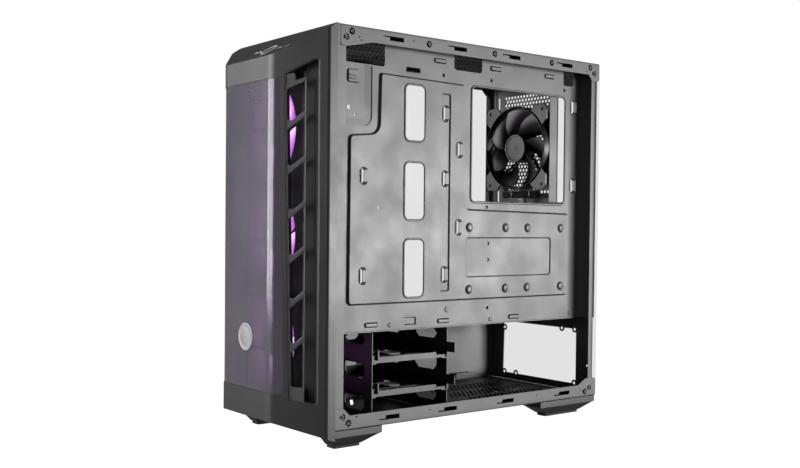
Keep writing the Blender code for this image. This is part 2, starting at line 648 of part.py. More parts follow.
def cheek_window(inset):
    corners = [(cheek_edge(WINDOW_LOW) + inset, WINDOW_LOW + inset),
               (WINDOW_REAR - inset, WINDOW_LOW - 0.0055 + inset),
               (WINDOW_REAR - inset, WINDOW_HIGH + 0.0160 - inset),
               (cheek_edge(WINDOW_HIGH) + inset, WINDOW_HIGH - inset)]
    return rounded(corners, 0.004 - min(inset, 0.002))


def on_cheek(side, low, high, outline, holes=()):
    place = cheek_frame(side)
    return prism([outline, *holes], lambda p: place @ Vector((p.x, p.y, low)),
                 lambda p: place @ Vector((p.x, p.y, high)))


def slope_frame(x, y=CONTROL_Y):
    """Places pieces on the sloping top: local Y up the slope, Z out of it."""
    return Matrix.Translation((x, y, top_z(y))) @ Matrix.Rotation(math.atan(TOP_SLOPE), 4, "X")


def on_slope(x, low, high, outline, holes=()):
    place = slope_frame(x)
    return prism([outline, *holes], lambda p: place @ Vector((p.x, p.y, low)),
                 lambda p: place @ Vector((p.x, p.y, high)))


def front_bezel():
    shell = bezel_shape(0)
    cutters = [bezel_shape(BEZEL_WALL), panel_window(GAP, NOSE_Y - 0.01, NOSE_Y + 0.020)]
    cutters += [on_cheek(side, -0.02, 0.02, cheek_window(0)) for side in (-1, 1)]
    depth = (-0.008, 0.002)
    cutters.append(on_slope(POWER_X, *depth, circle(0, 0, 0.0110, 24)))
    cutters.append(on_slope(RESET_X, *depth, circle(0, 0, 0.0037, 12)))
    cutters += [on_slope(x, *depth, circle(0, 0, 0.0036, 12)) for x in JACK_X]
    cutters += [on_slope(x, *depth, centred(0, 0, 0.0140, 0.0066, 0.0006, 1)) for x in USB_X]
    finished(cut(shell, cutters), "front_bezel", "black_plastic")


def smoked_front_panel():
    thickness = 0.0018
    wide = PANEL_HALF[0] + 0.004
    outer = [p for p in bezel_outline(PANEL_RECESS) if abs(p.x) < wide]
    inner = [p for p in bezel_outline(PANEL_RECESS + thickness) if abs(p.x) < wide]
    ends = Vector(((CHEEK_HALF - NOSE_HALF), CHEEK_Y - NOSE_Y)).normalized() * 0.020
    outline = [outer[0] + Vector((-ends.x, ends.y)), *outer, outer[-1] + ends,
               inner[-1] + ends, *reversed(inner), inner[0] + Vector((-ends.x, ends.y))]
    sheet = slab("Z", PANEL_Z[0] - 0.005, PANEL_Z[1] + 0.005, outline)
    window = panel_window(0, NOSE_Y - 0.01, NOSE_Y + 0.030)
    finished(combine(sheet, [window], "INTERSECT"), "smoked_front_panel", "smoked_acrylic")


def front_badge():
    """A plain round disc on the smoked panel."""
    disc = slab("Y", NOSE_Y, NOSE_Y + PANEL_RECESS - GAP, circle(0, BADGE_Z, BADGE_RADIUS, 32))
    finished(disc, "front_badge", "silver")


def side_vent(side, name):
    """A louvre insert: a deep rim with a panel of seven slanted windows along its front edge."""
    rim = on_cheek(side, -0.0120, -0.0004, cheek_window(GAP), [cheek_window(0.0018)])
    pitch, height, rise, bar = 0.0478, 0.0405, 0.0110, 0.0032
    cells = []
    for step in range(7):
        low = 0.0655 + step * pitch
        front = cheek_edge(low) + bar
        rear = LOUVRE_REAR - bar
        corners = [(front, low), (rear, low + rise), (rear, low + rise + height), (front, low + height)]
        cells.append(rounded(corners, 0.0035, 1))
    low, high = WINDOW_LOW - 0.0030, WINDOW_HIGH + 0.0105
    corners = [(cheek_edge(low) + 0.0010, low), (LOUVRE_REAR, low), (LOUVRE_REAR, high),
               (cheek_edge(high) + 0.0010, WINDOW_HIGH - 0.0010)]
    floor = on_cheek(side, -0.0095, -0.0070, [Vector(corner) for corner in corners], cells)
    finished(combine(rim, [floor]), name, "black_plastic")


def front_filter():
    """The dust screen behind the smoked panel."""
    cells = grid((-0.042, 0.042), (0.052, 0.412), 2, 6, 0.004)
    screen = slab("Y", NOSE_Y + BEZEL_WALL + GAP, NOSE_Y + BEZEL_WALL + GAP + 0.002,
                  rectangle(-0.046, 0.046, 0.046, 0.418, 0.003), cells)
    finished(screen, "front_dust_filter", "black_plastic")


# --- Front controls ------------------------------------------------------------------------------

def controls():
    board_top = -BOARD_DEPTH
    board = on_slope(0, board_top - 0.0016, board_top, rectangle(-0.040, 0.068, -0.0095, 0.0105, 0.001))
    switches = [on_slope(x, board_top - 0.0005, -0.0085, centred(0, 0, 0.006, 0.006))
                for x in (POWER_X, RESET_X)]
    finished(combine(board, switches), "front_port_board", "circuit_board")
    ring = on_slope(POWER_X, -0.0045, 0.0004, circle(0, 0, 0.0107, 24), [circle(0, 0, 0.0091, 24)])
    finished(ring, "power_light_ring", "light_ring")
    button("power_button", POWER_X, 0.0087, 20)
    button("reset_button", RESET_X, 0.0032, 12)
    port_floor = board_top + GAP
    for number, x in enumerate(JACK_X, 1):
        jack = on_slope(x, port_floor, -0.0002, circle(0, 0, 0.0033, 12), [circle(0, 0, 0.00178, 12)])
        plug_end = on_slope(x, port_floor + LAP, port_floor + 0.001, circle(0, 0, 0.0030, 12))
        finished(combine(jack, [plug_end]), f"audio_jack_{number}", "nickel")
    for number, x in enumerate(USB_X, 1):
        shell = on_slope(x, port_floor, -0.0002, centred(0, 0, 0.0134, 0.0060))
        pocket = on_slope(x, port_floor + 0.001, 0.001, centred(0, 0, 0.0124, 0.0050))
        tongue = on_slope(x, port_floor + 0.0005, -0.0020, centred(0, 0.0010, 0.0110, 0.0018))
        finished(combine(cut(shell, [pocket]), [tongue]), f"usb_port_{number}", "nickel")


def button(name, x, radius, steps):
    guide = empty(name + "_travel", slope_frame(x).translation, (math.atan(TOP_SLOPE), 0, 0))
    cap = on_slope(x, -0.0060, BUTTON_PROUD, circle(0, 0, radius, steps))
    keep_place_under(finished(cap, name, "black_plastic"), guide)


# --- Rear hardware -------------------------------------------------------------------------------

def slot_covers():
    inner = REAR_Y - SHEET - GAP
    for number, z in enumerate(slot_heights(), 1):
        cover = block((-0.052, 0.0625), (inner - SHEET, inner), (z - 0.0090, z + 0.0090))
        tab = block((-0.052, -0.051), (inner - SHEET / 2, 0.2435), (z - 0.0058, z + 0.0058))
        finished(combine(cover, [tab]), f"slot_cover_{number}", "grey_steel")


def slot_bracket():
    low = slot_heights()[-1] - 0.011
    high = slot_heights()[0] + 0.011
    foot = block((-0.0745, -0.0545), (REAR_Y + GAP, REAR_Y + GAP + SHEET), (low, high))
    guard = block((-0.0555, -0.0545), (REAR_Y + GAP, 0.248), (low, high))
    finished(combine(foot, [guard]), "slot_bracket", "grey_steel")
    middle = (low + high) / 2
    head = slab("X", -0.0665, -0.0558, circle(0.2405, middle, 0.0052, 16))
    finished(head, "bracket_thumbscrew", "black_steel")


# --- Feet and filters ----------------------------------------------------------------------------

def foot(name, side, y_top, y_bottom):
    """A moulded foot: a straight band under the floor, tapering to the rubber pad."""
    x_top = sorted((side * 0.0705, side * 0.1042))
    x_bottom = sorted((side * 0.0745, side * 0.0930))
    corners = [rectangle(*x_top, *y_top), rectangle(*x_top, *y_top), rectangle(*x_bottom, *y_bottom)]
    heights = (FOOT_TOP, 0.0150, PAD_HEIGHT + GAP)
    solid = bmesh.new()
    rings = [[solid.verts.new((p.x, p.y, z)) for p in loop] for loop, z in zip(corners, heights)]
    for upper, lower in zip(rings, rings[1:]):
        for i in range(4):
            j = (i + 1) % 4
            solid.faces.new((upper[i], upper[j], lower[j], lower[i]))
    solid.faces.new(rings[0])
    solid.faces.new(rings[-1])
    bmesh.ops.recalc_face_normals(solid, faces=solid.faces)
    finished(new_object(name, solid), name, "black_plastic")
    pad = block((x_bottom[0] + 0.001, x_bottom[1] - 0.001), (y_bottom[0] + 0.001, y_bottom[1] - 0.001),
                (0.0, PAD_HEIGHT), 0.003)
    finished(pad, name.replace("foot", "foot_pad"), "rubber")


def feet():
    for side, hand in ((-1, "left"), (1, "right")):
        foot(f"foot_front_{hand}", side, (FRONT_Y + GAP, -0.1290), (-0.1880, -0.1500))
        foot(f"foot_rear_{hand}", side, (0.1250, REAR_Y - GAP), (0.1460, 0.2110))


def filters():
    top_cells = grid((-0.063, 0.063), (-0.172, 0.192), 2, 5, 0.006)
    top = slab("Z", TOP_Z + GAP, TOP_Z + GAP + 0.0012, rectangle(-0.069, 0.069, -0.178, 0.198, 0.006),
               top_cells)
    finished(top, "top_dust_filter", "black_plastic")
    guide = empty("psu_dust_filter_slide", (0, 0.222, 0.0195))
    cells = grid((-0.056, 0.056), (0.068, 0.213), 3, 3, 0.004)
    frame = slab("Z", 0.0181, 0.0209,
                 rectangle(-FILTER_HALF, FILTER_HALF, 0.062, 0.2200, 0.003, 1), cells)
    grip = block((-0.022, 0.022), (0.2190, 0.2275), (0.0165, 0.0209), 0.002)
    keep_place_under(finished(combine(frame, [grip]), "psu_dust_filter", "black_plastic"), guide)


def build():
    for thing in list(bpy.data.objects):
        bpy.data.objects.remove(thing)
    top_panel()
    bottom_panel()
    front_frame()
    rear_wall()
    motherboard_tray()
    psu_shroud()
    drive_cage()
    drive_tray("drive_tray_lower", CAGE_LEVELS[0])
    drive_tray("drive_tray_upper", CAGE_LEVELS[1])
    fans()
    front_bezel()
    smoked_front_panel()
    front_badge()
    side_vent(-1, "side_vent_left")
    side_vent(1, "side_vent_right")
    front_filter()
    controls()
    slot_covers()
    slot_bracket()
    feet()
    filters()


build()
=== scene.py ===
"""Looks of the desktop computer tower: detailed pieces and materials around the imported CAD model.

Metres, in the CAD model's frame: +Z up, the bezel faces -Y, the cable side of the tray faces +X.
"""
import json
import math

import bmesh
import bpy
from mathutils import Matrix, Vector
from mathutils.geometry import delaunay_2d_cdt


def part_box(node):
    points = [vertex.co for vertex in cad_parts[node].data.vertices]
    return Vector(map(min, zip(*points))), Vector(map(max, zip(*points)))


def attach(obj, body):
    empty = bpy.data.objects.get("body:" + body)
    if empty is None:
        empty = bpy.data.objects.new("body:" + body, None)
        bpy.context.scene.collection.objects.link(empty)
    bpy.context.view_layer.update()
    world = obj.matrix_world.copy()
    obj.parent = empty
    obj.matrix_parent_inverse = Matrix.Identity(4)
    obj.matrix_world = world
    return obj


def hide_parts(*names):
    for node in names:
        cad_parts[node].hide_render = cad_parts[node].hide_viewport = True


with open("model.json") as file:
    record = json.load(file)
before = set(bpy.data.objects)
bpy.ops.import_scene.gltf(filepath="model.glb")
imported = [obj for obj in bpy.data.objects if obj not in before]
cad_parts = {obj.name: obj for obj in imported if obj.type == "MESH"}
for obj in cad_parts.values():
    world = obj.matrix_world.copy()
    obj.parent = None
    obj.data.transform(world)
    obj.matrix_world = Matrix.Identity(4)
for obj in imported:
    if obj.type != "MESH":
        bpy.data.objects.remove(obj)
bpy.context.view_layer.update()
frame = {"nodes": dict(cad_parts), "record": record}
NODES = frame["nodes"]
MOUNTS = {mount["name"]: Vector(mount["pos_m"]) for mount in frame["record"]["mounts"]}

# --- Sizes read from the frame, and the few that it doesn't hold ----------------------------------
SHEET = 0.001                 # steel sheet thickness
GAP = 0.0003                  # clearance between pieces that touch
STANDOFF_LENGTH = 0.0065
DETAIL_STEPS = 48             # sides of a small part that has to look round
FRONT_FANS = ("lower", "middle", "upper")
FAN_DEPTH = 0.025
FAN_HALF = 0.060
FAN_SCREW = 0.0525            # half the spacing of a 120 mm fan's screws
FAN_BORE = 0.0575
HUB = 0.0205
BLADES = 7
TOP_LOW, TOP_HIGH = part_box("top_panel")
FLOOR_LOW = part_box("bottom_panel")[0]
TRAY_LOW, TRAY_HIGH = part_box("motherboard_tray")
WALL_LOW, WALL_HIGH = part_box("rear_wall")
BEZEL_LOW, BEZEL_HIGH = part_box("front_bezel")
HALF_WIDTH = MOUNTS["cable_side_panel_seat"].x
FRONT_Y, REAR_Y = TOP_LOW.y, TOP_HIGH.y
TOP_Z = TOP_HIGH.z
FLOOR_Z = WALL_LOW.z - SHEET - GAP
TRAY_X = MOUNTS["motherboard_seat"].x + STANDOFF_LENGTH + SHEET

# --- Camera and light levels ----------------------------------------------------------------------
CAMERA_PLACE = Vector((1.0097, -0.8123, 0.2477))
CAMERA_YAW, CAMERA_PITCH, CAMERA_ROLL = (math.radians(turn) for turn in (52.115, -1.078, 0.553))
LENS = 45.216
LENS_SHIFT = (0.0010, 0.01375)
WORLD_LIGHT = 0.15            # brightness of the studio around the object
CARD_GLOW = 0.76              # what shows through the case's openings
FLOOR_GLOW = 0.12             # brightness of the floor where it is mirrored in the object


# --- Procedural materials -------------------------------------------------------------------------

class Finish:
    """A material under construction. Textures are laid out in the object's own metres."""

    def __init__(self, name, **constants):
        self.material = bpy.data.materials.new(name)
        self.material.use_nodes = True
        self.tree = self.material.node_tree
        self.shader = self.tree.nodes["Principled BSDF"]
        self.place = self.add("ShaderNodeTexCoord").outputs["Object"]
        for socket, value in constants.items():
            self.shader.inputs[socket.replace("_", " ")].default_value = value

    def add(self, kind, inputs=None, **settings):
        node = self.tree.nodes.new(kind)
        for setting, value in settings.items():
            setattr(node, setting, value)
        for socket, value in (inputs or {}).items():
            self.feed(node.inputs[socket], value)
        return node

    def feed(self, socket, value):
        if isinstance(value, bpy.types.NodeSocket):
            self.tree.links.new(value, socket)
        else:
            socket.default_value = value

    def noise(self, scale, low=0.0, high=1.0, detail=2.0, stretch=(1, 1, 1)):
        """Noise with the given number of features per metre, mapped between low and high."""
        spread = self.add("ShaderNodeMapping", {"Vector": self.place, "Scale": stretch}).outputs[0]
        cloud = self.add("ShaderNodeTexNoise", {"Vector": spread, "Scale": scale, "Detail": detail})
        return self.ranged(cloud.outputs["Fac"], 0.3, 0.7, low, high)

    def ranged(self, value, low, high, to_low, to_high):
        return self.add("ShaderNodeMapRange", {"Value": value, "From Min": low, "From Max": high,
                                               "To Min": to_low, "To Max": to_high}).outputs[0]

    def blend(self, share, first, second):
        """A colour between two others. A colour mix has its sockets after those for other types."""
        mix = self.add("ShaderNodeMix", data_type="RGBA")
        self.feed(mix.inputs[0], share)
        self.feed(mix.inputs[6], first)
        self.feed(mix.inputs[7], second)
        return mix.outputs[2]

    def maths(self, operation, first, second):
        node = self.add("ShaderNodeMath", operation=operation)
        self.feed(node.inputs[0], first)
        self.feed(node.inputs[1], second)
        return node.outputs[0]

    def edges(self, radius):
        """1 on outer and inner edges, 0 on faces, from how far a rounded normal turns away."""
        soft = self.add("ShaderNodeBevel", {"Radius": radius}, samples=4).outputs[0]
        hard = self.add("ShaderNodeNewGeometry").outputs["Normal"]
        turn = self.add("ShaderNodeVectorMath", {0: soft, 1: hard}, operation="DOT_PRODUCT")
        return self.ranged(turn.outputs["Value"], 0.99, 0.75, 0.0, 1.0)

    def bump(self, height, depth, strength=1.0):
        node = self.add("ShaderNodeBump", {"Height": height, "Distance": depth, "Strength": strength})
        self.feed(self.shader.inputs["Normal"], node.outputs[0])

    def surface(self, colour, roughness):
        self.feed(self.shader.inputs["Base Color"], colour)
        self.feed(self.shader.inputs["Roughness"], roughness)


def shade(grey, tint=(1.0, 1.0, 1.0), share=1.0):
    return (*(grey * part * share for part in tint), 1.0)


def worn(finish, grey, tint, roughness, wear, worn_grey, edge=0.0006):
    """Clouded colour and roughness, with the edges rubbed lighter and smoother."""
    clouds = finish.blend(finish.noise(11, detail=4), shade(grey, tint, 0.85), shade(grey, tint, 1.15))
    rubbed = finish.maths("MULTIPLY", finish.edges(edge), finish.noise(90, 0.2 * wear, wear, 3))
    colour = finish.blend(rubbed, clouds, shade(worn_grey, tint))
    dulling = finish.noise(24, roughness - 0.05, roughness + 0.05, 3)
    finish.surface(colour, finish.maths("SUBTRACT", dulling, finish.maths("MULTIPLY", rubbed, 0.12)))


def coated_steel(name, grey, roughness, worn_grey):
    """Powder coat: a fine orange peel over clouded colour."""
    finish = Finish(name, Specular_IOR_Level=0.55)
    worn(finish, grey, (1.0, 1.0, 1.02), roughness, 0.5, worn_grey)
    finish.bump(finish.noise(900, detail=3), 0.00006, 0.5)
    return finish.material


def moulded_plastic(name, grey, roughness, grain, depth, worn_grey, tint=(1.0, 1.0, 1.02)):
    """Spark-eroded texture of injection moulded plastic."""
    finish = Finish(name, Specular_IOR_Level=0.5)
    worn(finish, grey, tint, roughness, 0.45, worn_grey, 0.0008)
    finish.bump(finish.noise(grain, detail=4), depth, 0.6)
    return finish.material


def smoked_acrylic():
    finish = Finish("smoked_acrylic", Transmission_Weight=0.80, IOR=1.49)
    tint = finish.blend(finish.noise(7, detail=3), (0.27, 0.24, 0.32, 1), (0.30, 0.27, 0.35, 1))
    finish.surface(tint, finish.noise(18, 0.14, 0.19, 4, (1, 1, 0.4)))
    finish.bump(finish.noise(6, detail=1), 0.00002, 0.2)
    return finish.material


def satin_metal(name, colour, roughness, grain, depth, stretch=(1, 1, 1)):
    finish = Finish(name, Metallic=1.0)
    light = tuple(min(1.0, part * 1.08) for part in colour[:3]) + (1.0,)
    dark = tuple(part * 0.86 for part in colour[:3]) + (1.0,)
    rubbed = finish.edges(0.0004)
    finish.surface(finish.blend(finish.maths("MAXIMUM", rubbed, finish.noise(60, detail=3)), dark, light),
                   finish.noise(grain, roughness - 0.06, roughness + 0.08, 3, stretch))
    finish.bump(finish.noise(grain, 0, 1, 2, stretch), depth, 0.4)
    return finish.material


def rubber():
    finish = Finish("rubber", Specular_IOR_Level=0.35)
    worn(finish, 0.018, (1.0, 1.0, 1.0), 0.82, 0.6, 0.06)
    finish.bump(finish.noise(700, detail=4), 0.0001, 0.7)
    return finish.material


def painted_glow_blade():
    """Clear blades with a painted glow: their emission stands in for the light of the LEDs in the hub,
    nearly white beside it, then pink, and dark magenta at the tip.
    """
    finish = Finish("painted_glow_blade", Transmission_Weight=0.20, IOR=1.49, Emission_Strength=1.1)
    radius = finish.add("ShaderNodeVectorMath", {0: finish.place}, operation="LENGTH").outputs["Value"]
    uneven = finish.maths("ADD", radius, finish.noise(60, -0.002, 0.002, 3))
    reach = finish.ranged(uneven, 0.022, 0.054, 0.0, 1.0)
    glow = finish.add("ShaderNodeValToRGB", {"Fac": reach})
    stops = glow.color_ramp.elements
    stops[0].position, stops[0].color = 0.0, (1.0, 0.80, 1.0, 1)
    stops[1].position, stops[1].color = 1.0, (0.34, 0.05, 0.42, 1)
    near_hub, middle = stops.new(0.38), stops.new(0.62)
    near_hub.color = (0.80, 0.38, 0.86, 1)
    middle.color = (0.56, 0.13, 0.66, 1)
    finish.feed(finish.shader.inputs["Emission Color"], glow.outputs["Color"])
    finish.surface(finish.blend(finish.noise(40), (0.26, 0.10, 0.30, 1), (0.32, 0.14, 0.36, 1)),
                   finish.noise(80, 0.22, 0.34))
    finish.bump(finish.noise(500), 0.00003, 0.4)
    return finish.material


def circuit_board():
    finish = Finish("circuit_board", Coat_Weight=0.4)
    tracks = finish.add("ShaderNodeTexBrick", {"Vector": finish.place, "Scale": 160.0, "Mortar Size": 0.03})
    finish.surface(finish.blend(tracks.outputs["Fac"], (0.008, 0.045, 0.025, 1), (0.02, 0.10, 0.05, 1)),
                   finish.noise(50, 0.35, 0.50))
    finish.bump(tracks.outputs["Fac"], 0.00005, 0.4)
    return finish.material


FINISHES = {
    "grey_steel": coated_steel("grey_steel", 0.050, 0.46, 0.13),
    "black_steel": coated_steel("black_steel", 0.016, 0.45, 0.09),
    "black_plastic": moulded_plastic("black_plastic", 0.009, 0.42, 1100, 0.00008, 0.045),
    "smoked_acrylic": smoked_acrylic(),
    "silver_badge": satin_metal("silver_badge", (0.30, 0.30, 0.31, 1), 0.38, 700, 0.00003, (1, 1, 0.02)),
    "rubber": rubber(),
    "fan_plastic": moulded_plastic("fan_plastic", 0.007, 0.38, 700, 0.00005, 0.04),
    # a lighter copy of the black plastic: painted light on the louvres, their rim and the fan guard, for the
    # light that the ribs catch
    "vent_plastic_painted_light": moulded_plastic("vent_plastic_painted_light", 0.055, 0.36, 1100, 0.00006, 0.12),
    # painted glow: the front fans' blades emit light in place of the hub's LEDs
    "lit_rotor": painted_glow_blade(),
    "circuit_board": circuit_board(),
    "nickel": satin_metal("nickel", (0.70, 0.69, 0.66, 1), 0.24, 900, 0.00003),
    "light_ring": moulded_plastic("light_ring", 0.72, 0.35, 600, 0.00003, 0.85, (1.0, 0.98, 1.0)),
    "white_plastic": moulded_plastic("white_plastic", 0.72, 0.42, 700, 0.00004, 0.85, (1.0, 1.0, 0.95)),
}


# --- Outlines: closed loops of flat points --------------------------------------------------------

def rounded(corners, radius, steps=5):
    """The outline through the corners, each one rounded; radius is one value or one per corner."""
    radii = radius if isinstance(radius, (list, tuple)) else [radius] * len(corners)
    loop = []
    for index, (corner, bend) in enumerate(zip(corners, radii)):
        here = Vector(corner)
        if bend == 0:
            loop.append(here)
            continue
        back = (Vector(corners[index - 1]) - here).normalized()
        onward = (Vector(corners[(index + 1) % len(corners)]) - here).normalized()
        half_angle = back.angle(onward) / 2
        centre = here + (back + onward).normalized() * bend / math.sin(half_angle)
        start = here + back * bend / math.tan(half_angle) - centre
        end = here + onward * bend / math.tan(half_angle) - centre
        sweep = start.angle_signed(end)
        for step in range(steps + 1):
            loop.append(centre + Matrix.Rotation(-sweep * step / steps, 2) @ start)
    return loop


def rectangle(u_low, u_high, v_low, v_high, radius=0.0, steps=5):
    corners = [(u_low, v_low), (u_high, v_low), (u_high, v_high), (u_low, v_high)]
    return rounded(corners, radius, steps)


def centred(u, v, width, height, radius=0.0, steps=5):
    return rectangle(u - width / 2, u + width / 2, v - height / 2, v + height / 2, radius, steps)


def circle(u, v, radius, steps=20):
    turns = [2 * math.pi * (step + 0.5) / steps for step in range(steps)]
    return [Vector((u + radius * math.cos(turn), v + radius * math.sin(turn))) for turn in turns]


def arc(centre, radius, start, end, steps):
    """Points along an arc between two angles, both ends included."""
    turns = [start + (end - start) * step / steps for step in range(steps + 1)]
    return [Vector(centre) + radius * Vector((math.cos(turn), math.sin(turn))) for turn in turns]


def area(loop):
    return sum(here.cross(after) for here, after in zip(loop, loop[1:] + loop[:1])) / 2


def inset(loop, distance):
    """A loop moved inwards, each point along the bisector of its corner."""
    inward = 1 if area(loop) > 0 else -1
    moved = []
    for index, here in enumerate(loop):
        before = (here - loop[index - 1]).normalized()
        after = (loop[(index + 1) % len(loop)] - here).normalized()
        sides = [Vector((-run.y, run.x)) for run in (before, after)]
        moved.append(here + (sides[0] + sides[1]) * inward * distance / (1 + sides[0].dot(sides[1])))
    return moved


# --- Solids and pressed sheet ---------------------------------------------------------------------

def facing(axis, depth=0.0):
    """The plane at a depth along an axis: local X and Y lie in it, and local Z is its outward side."""
    columns = {"+X": ((0, 1, 0), (0, 0, 1), (1, 0, 0)), "-X": ((0, -1, 0), (0, 0, 1), (-1, 0, 0)),
               "+Y": ((-1, 0, 0), (0, 0, 1), (0, 1, 0)), "-Y": ((1, 0, 0), (0, 0, 1), (0, -1, 0)),
               "+Z": ((1, 0, 0), (0, 1, 0), (0, 0, 1)), "-Z": ((1, 0, 0), (0, -1, 0), (0, 0, -1))}[axis]
    turn = Matrix(columns).transposed().to_4x4()
    origin = Vector((0, 0, 0))
    origin["XYZ".index(axis[1])] = depth
    return Matrix.Translation(origin) @ turn


def standing(point, axis):
    """The plane through a point that faces along an axis."""
    return Matrix.Translation(point) @ facing(axis)


def ring_of(solid, place, outline, level):
    """Vertices along an outline, each with the flat point that it stands for."""
    points = outline if area(outline) > 0 else outline[::-1]
    return [(solid.verts.new(place @ Vector((point.x, point.y, level))), point) for point in points]


def bridge(solid, outer, inner):
    for here in range(len(outer)):
        after = (here + 1) % len(outer)
        solid.faces.new((outer[here][0], outer[after][0], inner[after][0], inner[here][0]))


def fill(solid, rings, downward=False):
    """Triangles inside the first ring and outside the others."""
    points = [point for ring in rings for _, point in ring]
    corners = [corner for ring in rings for corner, _ in ring]
    faces = []
    for ring in rings:
        first = sum(len(face) for face in faces)
        faces.append(list(range(first, first + len(ring))))
    inside_constraints = 1
    merge_distance = 1e-7
    _, _, triangles, names, _, owners = delaunay_2d_cdt(points, [], faces, inside_constraints,
                                                        merge_distance)
    for triangle, owner in zip(triangles, owners):
        if owner != [0]:
            continue
        named = [names[corner][0] for corner in triangle]
        a, b, c = (points[corner] for corner in named)
        upright = (b - a).cross(c - a) > 0
        chosen = [corners[corner] for corner in named]
        solid.faces.new(chosen if upright != downward else chosen[::-1])


def press(solid, place, ring, level, features):
    """Fill a ring with sheet. Each feature is an outline, its profile as (inset, rise) steps from this
    level, and a list of the features inside it, or None where it is an opening."""
    borders = [ring]
    for outline, profile, inside in features:
        rings = [ring_of(solid, place, inset(outline, reach), level + rise)
                 for reach, rise in [(0, 0), *profile]]
        for outer, inner in zip(rings, rings[1:]):
            bridge(solid, outer, inner)
        borders.append(rings[0])
        if inside is not None:
            press(solid, place, rings[-1], level + profile[-1][1], inside)
    fill(solid, borders)


def opening(outline):
    return (outline, [], None)


def pressing(outline, width, rise, inside=()):
    """A raised or sunk area behind a smooth step."""
    steps = 4
    profile = [(width * step / steps, rise * (3 - 2 * step / steps) * (step / steps) ** 2)
               for step in range(1, steps + 1)]
    return (outline, profile, list(inside))


def rolled_opening(outline, radius):
    """An opening with its rim rolled over in a half round."""
    steps = 5
    turns = [math.pi * step / steps for step in range(1, steps + 1)]
    return (outline, [(radius * (1 - math.cos(turn)), radius * math.sin(turn)) for turn in turns], None)


def prism(solid, place, loops, low, high):
    """A closed solid between two levels; loops[0] is its outline and the others are openings."""
    bottoms = [ring_of(solid, place, loop, low) for loop in loops]
    tops = [ring_of(solid, place, loop, high) for loop in loops]
    fill(solid, bottoms, downward=True)
    fill(solid, tops)
    for index, (bottom, top) in enumerate(zip(bottoms, tops)):
        if index == 0:
            bridge(solid, bottom, top)
        else:
            bridge(solid, top, bottom)


def grid(solid, rows, outward=True):
    """Faces between neighbouring rows of vertices."""
    for lower, upper in zip(rows, rows[1:]):
        for step in range(len(lower) - 1):
            face = [lower[step], lower[step + 1], upper[step + 1], upper[step]]
            solid.faces.new(face if outward else face[::-1])


def lathe(solid, place, profile, steps=24):
    """A turned solid around the local Z axis from (radius, height) points; ends on the axis close."""
    rings = []
    for radius, height in profile:
        if radius == 0:
            rings.append([solid.verts.new(place @ Vector((0, 0, height)))] * steps)
            continue
        turns = [2 * math.pi * step / steps for step in range(steps)]
        rings.append([solid.verts.new(place @ Vector((radius * math.cos(t), radius * math.sin(t), height)))
                      for t in turns])
    for lower, upper in zip(rings, rings[1:]):
        for here in range(steps):
            after = (here + 1) % steps
            corners = dict.fromkeys((lower[here], lower[after], upper[after], upper[here]))
            solid.faces.new(list(corners))


def centre_of(node):
    return sum(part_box(node), Vector()) / 2


def face_centre(node):
    """A node's middle as seen from the front or the rear."""
    centre = centre_of(node)
    return Vector((centre.x, centre.z))


def fan_screws(centre=(0, 0)):
    return [Vector(centre) + FAN_SCREW * Vector((across, up)) for across in (-1, 1) for up in (-1, 1)]


def within(low, high, margin):
    """The range between two ends, less a margin at both."""
    return (low + margin, high - margin)


def block(solid, x_range, y_range, z_range):
    prism(solid, facing("+Z"), [rectangle(*x_range, *y_range)], *z_range)


def mirrored(solid):
    """Add the mirror image across the middle of the case."""
    copy = bmesh.ops.duplicate(solid, geom=solid.verts[:] + solid.edges[:] + solid.faces[:])["geom"]
    bmesh.ops.transform(solid, matrix=Matrix.Scale(-1, 4, (1, 0, 0)),
                        verts=[part for part in copy if isinstance(part, bmesh.types.BMVert)])
    bmesh.ops.reverse_faces(solid, faces=[part for part in copy if isinstance(part, bmesh.types.BMFace)])


# --- Pieces ---------------------------------------------------------------------------------------

def settle(thing):
    """Apply the modifiers and smooth the round faces."""
    bpy.context.view_layer.update()
    graph = bpy.context.evaluated_depsgraph_get()
    mesh = bpy.data.meshes.new_from_object(thing.evaluated_get(graph))
    thing.modifiers.clear()
    thing.data = mesh
    soften(thing)


def soften(thing, angle=32):
    thing.data.shade_smooth()
    thing.data.set_sharp_from_angle(angle=math.radians(angle))
    weighted = thing.modifiers.new("Flat faces", "WEIGHTED_NORMAL")
    weighted.keep_sharp = True


def ease_edges(thing, width, segments=2):
    bevel = thing.modifiers.new("Eased edges", "BEVEL")
    bevel.width = width
    bevel.segments = segments
    bevel.limit_method = "ANGLE"
    bevel.angle_limit = math.radians(38)


def show(name, content):
    """A new object in the scene; a mesh under construction is finished first."""
    if isinstance(content, bmesh.types.BMesh):
        mesh = bpy.data.meshes.new(name)
        content.to_mesh(mesh)
        content.free()
        content = mesh
    thing = bpy.data.objects.new(name, content)
    bpy.context.scene.collection.objects.link(thing)
    return thing


def piece(name, solid, finish, stands_for=(), body="chassis", thickness=0.0, eased=0.0, at=(0, 0, 0)):
    """Turn a mesh under construction into a shown piece that stands for CAD nodes."""
    thing = show(name, solid)
    thing.location = at
    if thickness:
        solidify = thing.modifiers.new("Sheet", "SOLIDIFY")
        solidify.thickness = thickness
        solidify.offset = -1
    if eased:
        ease_edges(thing, eased)
    settle(thing)
    thing.data.materials.clear()
    thing.data.materials.append(FINISHES[finish])
    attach(thing, body)
    if stands_for:
        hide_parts(*stands_for)
    return thing


# --- Motherboard tray -----------------------------------------------------------------------------

